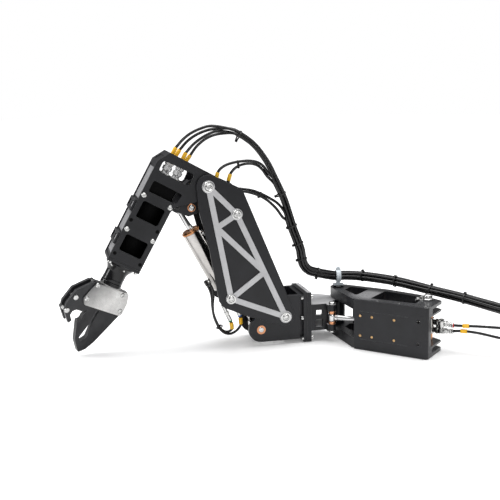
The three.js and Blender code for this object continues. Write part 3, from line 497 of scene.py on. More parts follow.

# ================================================================== CAD pieces that keep their shape
# the jaw's cover plates carry painted light: a dull painted shade at the inner corner rising to a bright painted
# highlight at the outer one
ct = COVER_PAINTED_HIGHLIGHT.node_tree
cb = [q for q in ct.nodes if q.type == "BSDF_PRINCIPLED"][0]
src = cb.inputs["Base Color"].links[0].from_socket
oc = ct.nodes.new("ShaderNodeTexCoord")
dp = ct.nodes.new("ShaderNodeVectorMath")
dp.operation = "DOT_PRODUCT"
cover_shaded_corner = JAW @ Vector((318, -18, -40))
cover_highlit_corner = JAW @ Vector((372, -18, 40))
cd = (cover_highlit_corner - cover_shaded_corner) * MM
dp.inputs[1].default_value = (cd / cd.length_squared)[:]
ct.links.new(oc.outputs["Object"], dp.inputs[0])
k0 = (cover_shaded_corner * MM).dot(cd) / cd.length_squared
cover_shade_to_highlight = ramp(ct, dp.outputs["Value"], k0 - 0.05, k0 + 0.62, 0, 1)
ct.links.new(mix(ct, cover_shade_to_highlight, (0.17, 0.17, 0.17), src), cb.inputs["Base Color"])

for n, m, bv in (
    ("base_lower_deck", ANO_DECK_PAINTED_SHEEN, 0.8), ("base_upper_deck", ANO_DECK_PAINTED_SHEEN, 0.8), ("base_side_panel", ANO, 0.6),
    ("base_far_panel", ANO, 0.6), ("slew_bracket", ANO_BRACKET_PAINTED_SHEEN, 0.6), ("shoulder_clevis", ANO, 0.8),
    ("boom_plate_near", ANO, 0.9), ("boom_plate_far", ANO, 0.9), ("boom_rear_web", ANO, 0.6),
    ("boom_truss_near", TRUSS, 0.5), ("boom_truss_far", TRUSS, 0.5),
    ("forearm_plate_near", ANO_FORE, 0.8), ("forearm_plate_far", ANO_FORE, 0.8), ("forearm_frame", ANO_FORE, 0.7),
    ("forearm_rod_lug", ANO, 0.7),
    ("jaw_plate_near", JAWDARK, 0.8), ("jaw_plate_far", JAWDARK, 0.8), ("jaw_finger", JAWDARK, 0.9),
    ("jaw_cover_near", COVER_PAINTED_HIGHLIGHT, 0.6), ("jaw_cover_far", COVER_PAINTED_HIGHLIGHT, 0.6),
):
    cad(n, m, bv)

# ================================================================== BASE
SLEW, TAIL, CRANK = (-154, 37), (94, 11), (-134, -35)
B = Build()
B.turn([(8, 0.3), (9, 1.3), (9, 120.3), (14.6, 120.3), (15, 120.7), (15, 124), (14, 125), (8, 125)], BASE @ T(*SLEW, 0), 56)
B.make("slew_pin_turned", "base", BLACKSTEEL, 0.25, replaces=["slew_pin"])
B = Build()
B.turn([(7, 0.3), (8, 1.3), (8, 120.3), (12.2, 120.3), (12.5, 120.7), (12.5, 123.6), (11.0, 124.4), (10.6, 124.8), (10.4, 129.4), (9.7, 131.2), (8.3, 132.9), (6.4, 133.9), (6.0, 133.9), (5.4, 133.2, "h"), (5.2, 130.8, "h"), (1.5, 130.5)], BASE @ T(*TAIL, 0), 60)
# lock tabs lying on the deck beside the pin head
for ang in (150, 205):
    Mt = BASE @ T(*TAIL, 0) @ R(ang, "Z")
    B.box(10, 30, -5.5, 5.5, 120.3, 122.3, Mt)
    B.turn([(5.0, 122.3), (5.0, 125.0), (4.4, 125.6), (2.6, 125.6), (2.4, 123.8, "h"), (0.8, 123.6)], Mt @ T(23, 0, 0), 30)
B.make("slew_tail_pin_turned", "base", STEEL, 0.25, replaces=["slew_tail_pin"])
B = Build()
for z0, z1 in ((78.5, 94.7), (25.3, 41.5)):
    B.turn([(8.3, z0), (11.2, z0), (12, z0 + 0.8), (12, z1 - 0.8), (11.2, z1), (8.3, z1)], BASE @ T(*TAIL, 0), 56, closed=True)
B.make("tail_bushes", "base", BRONZE, 0, replaces=["tail_bush_upper", "tail_bush_lower"])

# hose clip: foot, upright post and band with a closing screw
B = Build()
Mc = BASE @ T(*SLEW, 0) @ R(36, "Z")
B.prism([(-13, -7), (-11, -9), (11, -9), (13, -7), (13, 7), (11, 9), (-11, 9), (-13, 7)], 125.3, 127.6, Mc)
B.box(-5, 5, -6.5, 6.5, 127.4, 130.5, Mc)
B.box(-3.6, 3.6, -5.5, 5.5, 130.3, 135.8, Mc)
band = [(13.45, -6), (15.6, -6), (15.9, -5.4), (15.9, 5.4), (15.6, 6), (13.45, 6)]
B.turn(band, Mc @ T(0, 0, 148.5) @ R(90, "Y"), 64, closed=True)
B.box(-5.4, 5.4, -4.6, 4.6, 163.2, 168.8, Mc)
B.turn([(2.6, 168.8), (2.6, 171.2), (2.1, 171.8), (1.3, 171.8), (1.3, 170.4, "h"), (0.4, 170.2)], Mc, 24)
B.make("hose_clip_band", "base", CLIP, 0.35, replaces=["hose_clip"])

# cover screws and small fasteners of the cover side
B = Build()
for x, z in ((-44, 82.5), (-14, 82.5), (42, 82.5), (-44, 34), (-14, 34), (42, 34)):
    screw(B, BASE @ T(x, -65, z) @ R(90, "X"), r=3.1, h=1.2, socket=0.55)
B.make("cover_screws_brass", "base", BRASS, 0)
B = Build()
for x, y in ((-56, -50), (-6, -52), (48, -52), (112, -50)):
    B.turn([(3.4, 120.0), (3.4, 120.25), (2.9, 120.45), (1.7, 120.45), (1.6, 120.3, "h"), (0.4, 120.25)], BASE @ T(x, y, 0), 24)
B.make("deck_screws", "base", STEEL, 0)
# slew cylinder
tailP, crankP = Vector((94, 11, 60)), Vector((-134, -35, 60))
Ls = (crankP - tailP).length
Mtail = along(tailP, crankP, BASE)
B = Build()
B.turn([(8.3, -18), (15.2, -18), (16, -17.2), (16, 17.2), (15.2, 18), (8.3, 18)], BASE @ T(*tailP), 64, closed=True)
B.prism([(-14, 13), (-12, 30), (-14, 34), (14, 34), (12, 30), (14, 13)], -13, 13, Mtail @ R(90, "X"))
B.turn([(12, 30), (16.4, 30.6), (17, 31.2), (17, 152), (16.4, 152.6), (16.4, 154), (17, 154.6), (17, 159.4), (15.5, 160.2), (15.5, 165.6), (14.6, 166.6), (13, 168), (6.3, 168), (6.3, 162)], Mtail, 64)
B.make("slew_barrel_turned", "slew_cylinder_barrel", BARREL, 0.3, replaces=["slew_barrel"])
B = Build()
B.turn([(2, 50), (12.7, 50), (12.7, 60), (6, 60), (6, Ls - 15), (7.6, Ls - 14), (7.6, Ls - 8.5)], Mtail, 48)
eye = [(5.4, -9), (8.2, -9), (9, -8), (9.6, -5), (9.8, 0), (9.6, 5), (9, 8), (8.2, 9), (5.4, 9)]
B.turn(eye, BASE @ T(*crankP), 48, closed=True)
B.make("slew_rod_turned", "slew_cylinder_rod", ROD, 0.2, replaces=["slew_rod"])
# ports and swivel fittings at the tail
B = Build()
for dz in (9, -9):
    Mp = BASE @ T(94, 11, 60 + dz) @ R(90, "Y")
    B.turn([(4, 16.4), (6.5, 16.6), (6.5, 21), (8.0, 21, "h"), (8.0, 26, "h"), (6.4, 26.4), (6.0, 30)], Mp, 48)
    B.turn([(6, -7.4), (8.6, -7.4), (9.3, -6.6), (9.3, 6.6), (8.6, 7.4), (6, 7.4), (5.6, 6.4, "h"), (5.4, 4.4, "h"), (1, 4.2)], BASE @ T(94 + 33, 11, 60 + dz) @ R(16 if dz > 0 else -16, "X"), 48)
    # banjo stub and crimped ferrule towards the hose
    sgn = 1 if dz > 0 else -1
    a = Vector((94 + 40, 11.5, 60 + dz)); b = Vector((94 + 62, 13.0, 66.2 if dz > 0 else 51.8))
    Mf = along(a, b, BASE)
    B.turn([(3.4, 0), (4.4, 0.5), (4.4, 3), (6.2, 3.4, "h"), (6.2, 8.6, "h"), (4.6, 9), (4.6, 10.6), (5.6, 11), (5.7, 13.4), (5.2, 14.2), (5.7, 15), (5.7, 17.4), (5.2, 18.2), (5.7, 19), (5.6, 21.6), (4.6, 22)], Mf, 36)
B.turn([(3, -9), (6.4, -8.6), (6.4, 8.6), (3, 9)], BASE @ T(94 + 33, 11, 60), 40)
B.make("slew_port_fittings", "slew_cylinder_barrel", STEEL, 0.15, replaces=["slew_ports"])
B = Build()
Mr = along((153.5, 12.7, 66.4), (173.5, 15.7, 66.9), BASE)
B.turn([(3.5, 0), (5.4, 0.4), (5.4, 3.6), (3.5, 4)], Mr, 30)
B.make("slew_port_mark", "slew_cylinder_barrel", RED, 0)

# ================================================================== SHOULDER BRACKET
ca, sa = math.cos(45.8 * RAD), math.sin(45.8 * RAD)
cdx, cdy = CRANK[0] - SLEW[0], CRANK[1] - SLEW[1]
CRK = (cdx * ca + cdy * sa, -cdx * sa + cdy * ca)
Mk = ARM @ T(*CRK, 0)
B = Build()
B.turn([(4, 70), (5, 70.4), (5, 93.3), (7.8, 93.3), (8.2, 93.7), (8.2, 97.6), (7.4, 98.6), (5.6, 99.6), (4.2, 99.9), (3.4, 99.6, "h"), (3.2, 97.4, "h"), (1, 97.2)], Mk, 48)
B.turn([(3, 22.6), (6.6, 22.8), (7.5, 23.6), (7.5, 26.7), (5, 26.7), (5, 49.6), (4, 50)], Mk, 48)
B.make("crank_pin_stubs", "shoulder_bracket", STEEL, 0.15, replaces=["crank_pin_upper", "crank_pin_lower"])
B = Build()
for z0, z1 in ((69.6, 76.2), (43.8, 50.4)):
    B.turn([(5.3, z0), (8.6, z0), (9.2, z0 + 0.6), (9.2, z1 - 0.6), (8.6, z1), (5.3, z1)], Mk, 48, closed=True)
B.make("crank_bushes", "shoulder_bracket", COPPER, 0)
B = Build()
for y in (-49, 49):
    for z in (9, 60, 111):
        screw(B, ARM @ T(-106.3, y, z) @ R(-90, "Y"), r=5.6, h=6.4, socket=0.52, cap=True)
    for z in (9, 111):
        screw(B, ARM @ T(-88, y, z) @ R(90, "Y"), r=5.6, h=6.4, socket=0.52, cap=True)
for z in (9, 111):
    screw(B, ARM @ T(-106.3, 0, z) @ R(-90, "Y"), r=4.6, h=4.6, socket=0.52, cap=True)
B.make("flange_screws", "shoulder_bracket", STEEL, 0.12)
B = Build()
B.turn([(0.8, -53.2), (2.6, -53.3, "h"), (2.7, -54.2, "h"), (5.6, -54.3), (6.2, -54.0), (6.4, -53.4), (6.4, 53.4), (6.2, 54.0), (5.6, 54.3), (2.7, 54.2, "h"), (2.6, 53.3, "h"), (0.8, 53.2)], across(-214, 40.2), 56)
B.make("clevis_pin_turned", "shoulder_bracket", STEEL, 0.1, replaces=["clevis_pin"])
B = Build()
for s in (-1, 1):
    y0, y1 = sorted((s * 53.9, s * 54.4))
    B.turn([(6.5, y0), (10.8, y0), (10.8, y1 - 0.15), (10.6, y1), (6.7, y1), (6.5, y1 - 0.15)], across(-214, 40.2), 56, closed=True)
B.make("clevis_bush_rings", "shoulder_bracket", COPPER, 0)

# ================================================================== BOOM PINS
YO = 65.9


def pin_pair(B, x, z, r, hr, y_in=None, dome=2.6):
    """Through pin, or stubs from y_in, with a flat washer and a button-head screw on each side."""
    M = across(x, z)
    if y_in is None:
        B.turn([(r - 1, -YO), (r, -YO + 1), (r, YO - 1), (r - 1, YO)], M, 56)
    for s in (-1, 1):
        Ms = M if s > 0 else M @ R(180, "X")
        if y_in is not None:
            B.turn([(r - 1, y_in), (r, y_in + 1), (r, YO - 1), (r - 1, YO)], Ms, 56)
        B.turn([(hr * 0.5, YO - 0.2), (hr - 0.5, YO + 0.2), (hr, YO + 0.7), (hr, YO + 1.8), (hr - 0.6, YO + 2.3), (hr * 0.66, YO + 2.3), (hr * 0.62, YO + 2.0), (hr * 0.5, YO + 2.0)], Ms, 56)
        screw(B, Ms @ T(0, 0, YO + 2.1), r=hr * 0.60, h=dome + 0.3, socket=0.50, seg=48)


B = Build()
pin_pair(B, -334.8, 394.7, 9, 13)
B.make("elbow_pin_turned", "boom", STEEL, 0.1, replaces=["elbow_pin"])
B = Build()
pin_pair(B, -155, 70.7, 9, 13)
B.make("shoulder_pin_turned", "boom", STEEL, 0.1, replaces=["shoulder_pin"])
B = Build()
pin_pair(B, -288.1, 125.8, 7, 11.5)
B.make("boom_foot_pin_turned", "boom", STEEL, 0.1, replaces=["boom_foot_pin"])
B = Build()
pin_pair(B, -269.6, 327.2, 7, 12, y_in=14)
B.make("boom_head_pins_turned", "boom", STEEL, 0.1, replaces=["boom_head_pin_near", "boom_head_pin_far"])

# ================================================================== CYLINDERS IN THE ARM
u = (-math.cos(60.5 * RAD), -math.sin(60.5 * RAD)); v = (math.sin(60.5 * RAD), -math.cos(60.5 * RAD))
ROD_EYE = (-334.8 + u[0] * 75.1 - v[0] * 35.4, 394.7 + u[1] * 75.1 - v[1] * 35.4)


def arm_cylinder(prefix, body, tail, head, bore, rod_r, gland, tail_r, pin_r, eye_w, bronze, piston):
    a, b = (tail[0], 0, tail[1]), (head[0], 0, head[1])
    L = math.hypot(head[0] - tail[0], head[1] - tail[1])
    M = along(a, b, ARM)
    B = Build()
    e = eye_w
    B.turn([(pin_r + 0.3, -e), (tail_r - 0.8, -e), (tail_r, -e + 0.8), (tail_r, e - 0.8), (tail_r - 0.8, e), (pin_r + 0.3, e)], across(*tail), 64, closed=True)
    # forged shank between eye and tube: the tube's plane across the arm is local Y
    half = tail_r - 2
    q = Vector((0, 0, 1)).rotation_difference((Vector(b) - Vector(a)).normalized())
    shank = [(-half, tail_r * 0.75), (-half, tail_r + 6), (-half + 2, tail_r + 11), (half - 2, tail_r + 11), (half, tail_r + 6), (half, tail_r * 0.75)]
    d = (Vector(b) - Vector(a)).normalized()
    side = Vector((0, 1, 0))
    xloc = side.cross(d)
    Mb = ARM @ Matrix(((xloc.x, d.x, side.x, a[0]), (xloc.y, d.y, side.y, a[1]), (xloc.z, d.z, side.z, a[2]), (0, 0, 0, 1)))
    B.prism(shank, -e + 1.5, e - 1.5, Mb)
    top = gland if bronze else gland + 8
    prof = [(bore * 0.6, tail_r + 4), (bore - 0.6, tail_r + 4.6), (bore, tail_r + 5.4), (bore, tail_r + 12), (bore - 0.5, tail_r + 12.4), (bore - 0.5, tail_r + 13.6), (bore, tail_r + 14)]
    if bronze:
        prof += [(bore, gland - 0.5), (bore - 0.5, gland), (rod_r + 2, gland), (rod_r + 2, gland - 8)]
    else:
        prof += [(bore, gland - 2), (bore - 0.6, gland - 1.2), (bore + 0.5, gland - 0.6), (bore + 0.6, gland + 4.4), (bore, gland + 5.2), (bore - 2, gland + 8), (rod_r + 0.3, gland + 8), (rod_r + 0.3, gland + 2)]
    B.turn(prof, M, 72)
    B.make(prefix + "_barrel_turned", body + "_barrel", BARREL, 0.12, replaces=[prefix + "_barrel"])
    if bronze:
        B = Build()
        B.turn([(rod_r + 0.3, gland + 0.3), (bore + 0.3, gland + 0.3), (bore + 0.6, gland + 0.8), (bore + 0.6, gland + 4.6), (bore + 0.1, gland + 5.2), (bore - 2, gland + 6.4), (bore - 2.4, gland + 8), (rod_r + 2, gland + 8), (rod_r + 0.3, gland + 7.4)], M, 72, closed=True)
        B.make(prefix + "_gland_turned", body + "_barrel", BRONZE, 0.12, replaces=[prefix + "_gland"])
    B = Build()
    pr = bore - 4.3
    B.turn([(2, piston), (pr, piston), (pr, piston + 11), (rod_r, piston + 11), (rod_r, L - 21), (8.4, L - 20), (9, L - 19), (9, L - 9)], M, 56)
    B.turn([(7.3, -9), (11.7, -9), (12.5, -8.2), (12.5, 8.2), (11.7, 9), (7.3, 9)], across(*head), 56, closed=True)
    B.turn([(0.5, -8.6), (7.4, -8.6), (7.4, 8.6), (0.5, 8.6)], across(*head), 40)
    B.make(prefix + "_rod_turned", body + "_rod", ROD, 0.15, replaces=[prefix + "_rod"])
    return M


M_SH = arm_cylinder("shoulder_cyl", "shoulder_cylinder", (-214, 40.2), (-269.6, 327.2), 19, 7, 190, 19, 8, 20, False, 108)
M_EL = arm_cylinder("elbow_cyl", "elbow_cylinder", (-288.1, 125.8), ROD_EYE, 22, 6, 174, 16, 7, 17, True, 45)

# fittings of the elbow cylinder
B = Build()
for s, off, turn_deg, h in ((158, 21.5, 0, 13), (46, 21.5, 180, 12)):
    # a boss on the tube with a banjo fitting, standing out across the barrel in the arm's plane
    Mb = M_EL @ T(0, 0, s) @ R(turn_deg, "Z") @ R(90, "Y")
    B.turn([(5.5, off - 3), (6.6, off - 1), (6.6, off + 3), (7.6, off + 3, "h"), (7.6, off + 7, "h"), (5.6, off + 7.4), (5.6, off + h - 2), (6.4, off + h - 2, "h"), (6.4, off + h + 1, "h"), (3, off + h + 1.6)], Mb, 36)
B.make("elbow_cylinder_bosses", "elbow_cylinder_barrel", STEEL, 0.12)

# ================================================================== FOREARM
F_AX = -89.5
MW = FORE @ T(0, 0, F_AX) @ R(90, "Y")
B = Build()
prof = [(20, 70), (29.5, 70.4), (31, 72)]
prof += [(31, 236.5), (29.5, 238.4), (20, 238.5)]
B.turn(prof, MW, 72)
B.box(36, 71, -45.7, 45.7, -119, -60, FORE)
B.box(71, 238, -1.5, 1.5, -121, -57.5, FORE)
B.box(96, 236, -45.7, 45.7, -57.9, -57.0, FORE)
B.make("wrist_motor_turned", "forearm", INNER, 0.3, replaces=["wrist_motor"])
TS = [(-101 + 13.5 * i, 14 if i % 2 else -14) for i in range(4)]
B = Build()
B.box(31, 35.7, -22, 22, -119, -52, FORE)
for t, y in TS:
    Ma = FORE @ T(0, y, t) @ R(90, "Y")
    B.turn([(3.4, -26), (4.6, -25.4), (4.8, -22), (4.3, -21.2), (4.8, -20.4), (4.8, -17), (4.3, -16.2), (4.8, -15.4), (4.8, -12), (4.0, -11), (5.6, -10.4, "h"), (5.6, -2.4, "h"), (4.3, -1.8), (4.3, 1.0), (6.3, 1.6, "h"), (6.3, 10.4, "h"), (5.0, 11), (4.6, 12), (4.6, 17), (6.3, 17.6, "h"), (6.3, 25, "h"), (5.0, 25.6), (5.0, 31)], Ma, 36)
B.make("wrist_port_fittings", "forearm", FITTING, 0.12, replaces=["wrist_port_block"])

B = Build()
B.turn([(20, 254.3), (34.9, 254.3), (35.5, 254.9), (35.5, 260.6), (34.8, 261.8), (33.2, 263.4), (32.2, 264.6), (28.6, 270.5), (26.0, 275.4), (25.0, 278.4), (24.8, 294.2), (24.3, 294.6), (24.3, 295.6), (25.2, 296.2), (25.2, 301.6), (24.6, 303), (12, 303)], MW, 96)
B.make("wrist_neck_turned", "forearm", BLACKSTEEL, 0.12, replaces=["wrist_neck"], angle=30)
B = Build()
for k in range(6):
    a = (60 * k + 12) * RAD
    screw(B, MW @ T(30.2 * math.cos(a), 30.2 * math.sin(a), 263.6), r=3.1, h=3.6, socket=0.55, cap=True, seg=24)
for y in (-46.5, 46.5):
    for t in (-122, -57):
        screw(B, FORE @ T(254.0, y, t) @ R(90, "Y"), r=5.0, h=5.2, socket=0.52, cap=True)
B.make("wrist_foot_screws", "forearm", STEEL, 0.1)

# side-plate screws: large button heads, and small dark flush screws
B, D = Build(), Build()
for s in (-1, 1):
    for x, z in ((83.7, -121.8), (83.4, -55.2), (170.6, -121.4), (170.4, -56.2)):
        screw(B, FORE @ T(x, s * 54, z) @ R(-90 * s, "X"), r=6.2, h=3.4, socket=0.46, seg=48)
    for x, z in ((147.6, -122.6), (146.2, -56), (232.4, -121.6), (232.4, -57)):
        D.turn([(4.3, -0.2), (4.3, 0.2), (3.9, 0.35), (2.4, 0.35), (2.2, 0.1, "h"), (0.5, 0.05)], FORE @ T(x, s * 54, z) @ R(-90 * s, "X"), 24)
B.make("forearm_side_screws", "forearm", STEEL, 0.1)
D.make("forearm_flush_screws", "forearm", INNER, 0)

# painted reflection: pale grey panels let into the front wall, and into the ribs' slots, stand for the black anodised
# faces catching the light from above
B = Build()
for a, b in ((17.4, 97.6), (133.4, 182.6), (218.4, 240.6)):
    B.box(a, b, -41.6, 41.6, -127.4, -125.7, FORE)
D = Build()
for a in (101.5, 186.5):
    B.box(a + 7.4, a + 20.6, -41.6, -20, -133.4, -131.7, FORE)
    D.box(a + 7.4, a + 20.6, -19.6, -12.4, -132.4, -131.7, FORE)
    D.box(a + 7.4, a + 20.6, 12.4, 41.6, -132.4, -131.7, FORE)
B.make("forearm_front_painted_reflection", "forearm", PAINTED_REFLECTION_PANEL, 0.25)
D.make("forearm_rib_backs", "forearm", INNER, 0)

# rod pin of the elbow cylinder in its two lugs, and the lug's clamp screw
B, C, D = Build(), Build(), Build()
for s in (-1, 1):
    Ml = FORE @ T(75.1, 0, -35.4) @ R(-90 * s, "X")
    D.turn([(4, 10.1), (7, 10.4), (7, 21.4), (7.6, 21.5), (7.8, 21.7), (7.6, 22.4), (6.6, 22.8), (3.6, 22.8), (3.4, 22.2, "h"), (1, 22.0)], Ml, 40)
    Mc = FORE @ T(62.4, 0, -4.2) @ R(-90 * s, "X")
    C.turn([(6.0, 21.1), (9.8, 21.1), (9.8, 22.6), (9.3, 23.1), (6.0, 23.1)], Mc, 44, closed=True)
    screw(B, Mc @ T(0, 0, 23.0), r=7.6, h=3.8, socket=0.46, seg=44)
    screw(B, FORE @ T(40, s * 21, 4) @ R(-90 * s, "X"), r=3.6, h=2.4, socket=0.5, seg=30)
B.make("elbow_lug_screws", "forearm", STEEL, 0.1)
C.make("elbow_lug_rings", "forearm", COPPER, 0)
D.make("elbow_rod_pin_ends", "forearm", BLACKSTEEL, 0.1)

# ================================================================== JAW
MJ = JAW @ R(90, "Y")
B = Build()
B.turn([(14, 303.3), (25.4, 303.3), (26, 304), (26, 306.6), (25.4, 307), (25.4, 308), (26, 308.4), (26, 311), (24.6, 312.6), (14, 313)], MJ, 80)
B.make("jaw_yoke_ring", "jaw", BLACKSTEEL, 0.12, replaces=["jaw_yoke"])
B = Build()
B.prism([(312, -22), (316.2, -22), (316.2, 22), (312, 22)], -14, 14, JAW @ R(90, "X"))
B.prism([(315, -52), (341, -52), (341, 52), (315, 52)], -6.7, 6.7, JAW @ R(90, "X"))
B.make("jaw_yoke_block", "jaw", COVER_PAINTED_HIGHLIGHT, 0.6)
B = Build()
for x, z in ((364, -80), (399, -86)):
    B.turn([(2, -17), (4.4, -17.2), (6.2, -16.2), (6.4, -15.4), (6.4, -14.3), (3, -14.3), (3, -6.6), (5.2, -6.6), (5.2, 6.6), (3, 6.6), (3, 14.3), (6.4, 14.3), (6.4, 15.4), (6.2, 16.2), (4.4, 17.2), (2, 17)], across(x, z, JAW), 48)
B.make("jaw_spacers_turned", "jaw", STEEL, 0.12, replaces=["jaw_spacer_1", "jaw_spacer_2"])
B = Build()
B.turn([(2, -17), (4, -16.8), (4, 16.8), (2, 17)], across(362, 49.5, JAW), 40)
for s in (-1, 1):
    Mh = JAW @ R(-90 * s, "X")
    for x, z in ((362, 49.5), (320.5, -42), (323.5, 34), (358.5, -53)):
        screw(B, JAW @ T(x, s * 17.3, z) @ R(-90 * s, "X"), r=6.3, h=3.2, socket=0.46, seg=44)
B.make("jaw_cover_screws", "jaw", STEEL, 0.1, replaces=["jaw_pivot_pin"])
# stepped shoulder round the throat, and two small plugs
B = Build()
for s in (-1, 1):
    y0, y1 = sorted((s * 6.3, s * 6.95))
    pts = [(407 + 16.2 * math.cos(a * RAD), -44 + 16.2 * math.sin(a * RAD)) for a in range(14, 118, 8)]
    pts += [(407 + 12.6 * math.cos(a * RAD), -44 + 12.6 * math.sin(a * RAD)) for a in range(110, 8, -8)]
    B.rings([[(x, y, z) for x, z in pts] for y in (y0, y1)], JAW)
    for x, z in ((449.5, -22.5), (452.5, 21)):
        B.turn([(1, 0), (2.2, 0), (2.2, 0.3), (1.7, 0.45), (0.8, 0.45)], JAW @ T(x, s * 6.5, z) @ R(-90 * s, "X"), 24)
B.make("jaw_finger_shoulder", "finger", JAWDARK, 0.15)

# ================================================================== HOSES
# The supply hoses run as one bundle: out of the forearm's head, in an arch over the elbow, down
# behind the boom, round the shoulder, through the clip over the slew axis and out past the base.
def A(x, z, y=0.0):
    return ARM @ Vector((x, y, z))


STEP = 4.0
main_pts = [A(-276, 518), A(-261, 513), A(-246, 505), A(-214, 481), A(-184, 441), A(-162, 396), A(-142, 352), A(-129, 314), A(-117, 275), A(-105.5, 243), A(-98, 220), A(-95, 200), A(-90, 182),
            A(-78, 168), A(-57, 160), A(-34, 154), A(-14, 149.8)]
tail_pts = [(-154, 36.8, 148.5), (-134, 46.5, 149.2), (-100, 51, 150.3), (-39, 46, 150), (13, 42, 147), (89, 37, 138), (162, 36, 129), (210, 36, 121), (256, 36, 113.5), (300, 37, 106), (346, 39.5, 98)]
MAIN = spline(main_pts + [Vector(p) for p in tail_pts], STEP)
# axes carried along the bundle: n starts outwards in the arm's plane
t0 = (MAIN[1] - MAIN[0]).normalized()
lat = (ARM.to_3x3() @ Vector((0, 1, 0))).normalized()
n = lat.cross(t0).normalized()
if n.z < 0:
    n = -n
MF = []
for i in range(len(MAIN)):
    t = (MAIN[min(i + 1, len(MAIN) - 1)] - MAIN[max(i - 1, 0)]).normalized()
    n = (n - t * n.dot(t)).normalized()
    MF.append((t, n, t.cross(n)))


def near(p, path=None):
    path = path or MAIN
    return min(range(len(path)), key=lambda i: (path[i] - p).length)


RING = 8.7
HR = 3.4
PHASE = 12
SLOTS = {"f0": 26 + PHASE, "f1": -26 + PHASE, "f3": 77 + PHASE, "b1": -77 + PHASE, "b2": -129 + PHASE, "c1": 129 + PHASE, "c2": 180 + PHASE, "f2": None}


def bundle(i, key, grow=1.0):
    a = SLOTS[key]
    if a is None:
        return MAIN[i].copy()
    # a slow lay: the bundle twists a little along its run, and is drawn tight at the clip
    s = i * STEP
    a = a + 14 * math.sin(s / 210.0) + 5 * math.sin(s / 57.0 + (hash_of(key)))
    wob = 1.0 + 0.05 * math.sin(s / 38.0 + 2.1 * hash_of(key))
    clip = math.exp(-((s - CLIP_S) / 26.0) ** 2)
    r = RING * grow * (wob * (1 - clip) + 0.985 * clip)
    _, n, b = MF[i]
    return MAIN[i] + n * (r * math.cos(a * RAD)) + b * (r * math.sin(a * RAD))


def hash_of(key):
    return {"f0": 0.3, "f1": 1.4, "f2": 2.2, "f3": 3.1, "b1": 4.0, "b2": 4.9, "c1": 5.5, "c2": 0.9}[key]


CLIP_I = near(Vector((-154, 37, 148.5)))
CLIP_S = CLIP_I * STEP
S1 = near(A(-210, 477))
S2 = near(A(-88, 178))
S3 = near(Vector((-158, 34, 148.5)))
END = len(MAIN) - 1

FORE_P = lambda s, y, t: FORE @ Vector((s, y, t))
starts = {
    "f0": [FORE_P(-25, -14, -101), FORE_P(-38, -14, -101), A(-405, 478, -14), A(-397, 487, -14), A(-382, 502.5, -13), A(-364, 515.5, -12), A(-339, 526, -9), A(-314, 531, -6)],
    "f1": [FORE_P(-25, 14, -87.5), FORE_P(-38, 14, -88), A(-391, 472, 14), A(-383, 481, 13), A(-370, 495, 11), A(-352, 508, 9), A(-330, 518, 6), A(-306, 523.5, 2)],
    "f2": [FORE_P(-25, -14, -74), FORE_P(-38, -14, -74), A(-381, 466, -14), A(-374, 474, -14), A(-358, 490, -12), A(-340, 502.5, -9), A(-320, 512.5, -6), A(-300, 518, -2)],
    "f3": [FORE_P(-25, 14, -60.5), FORE_P(-38, 14, -60.5), A(-369, 455, 14), A(-362, 463, 14), A(-347.5, 482, 13), A(-329, 497.5, 12), A(-311, 506.5, 11), A(-292, 511, 9)],
    "b1": [A(-305, 380, -4.2), A(-305.5, 394, -4.2), A(-305, 408, -4.2), A(-302, 418, -4.2), A(-295, 428.5, -4.2), A(-281, 437.5, -4.2), A(-264, 442.5, -4.2), A(-246, 445, -4.2), A(-222, 445.5, -4.5), A(-203, 441, -6), A(-189, 431, -6), A(-178, 414, -7)],
    "b2": [A(-275, 372, 4.2), A(-275, 388, 4.2), A(-274, 398, 4.2), A(-271.5, 409, 4.2), A(-266, 419, 4.2), A(-257, 428.5, 4.2), A(-246, 434.5, 4.2), A(-231, 438, 3.8), A(-216, 438, 1), A(-202, 433, -1), A(-191, 423, -2), A(-181, 408, -3)],
    "c1": [A(-266, 378, 3), A(-252, 379, 4), A(-235, 377, 4), A(-213, 372, 5), A(-192, 363, 6), A(-170, 350.5, 7), A(-152, 338, 8)],
    "c2": [A(-266, 370, -4), A(-252, 373, -4), A(-236, 372.5, -4), A(-216, 367, -3), A(-197, 359, -2), A(-180, 348, -3), A(-159, 327.5, -4), A(-143, 305, -3)],
}
join_at = {"f0": near(A(-262, 513)), "f1": near(A(-262, 513)), "f2": near(A(-258, 511)), "f3": near(A(-256, 510)),
           "b1": near(A(-159, 390)), "b2": near(A(-158, 388)), "c1": near(A(-131, 320)), "c2": near(A(-124, 298))}

PATHS = {}
for key, pts in starts.items():
    j = join_at[key]
    lead = spline(pts + [bundle(j, key), bundle(min(j + 6, END), key)], STEP)
    # drop the lead's last points, which only steer it into the bundle
    lead = lead[:-6]
    last = lead[-1]
    k0 = min(range(j - 3, j + 8), key=lambda i: (bundle(i, key) - last).length) + 1
    PATHS[key] = (lead, k0)

BLEND_A = ("forearm", "boom", (SCALE @ ARM @ Vector((-392, 0, 500)))[:], (SCALE @ ARM @ Vector((-232, 0, 500)))[:])
BLEND_B = ("boom", "shoulder_bracket", (SCALE @ ARM @ Vector((-120, 0, 312)))[:], (SCALE @ ARM @ Vector((-104, 0, 186)))[:])
BLEND_C = ("shoulder_bracket", "base", (SCALE @ ARM @ Vector((-82, 0, 158)))[:], (SCALE @ ARM @ Vector((-14, 0, 149)))[:])

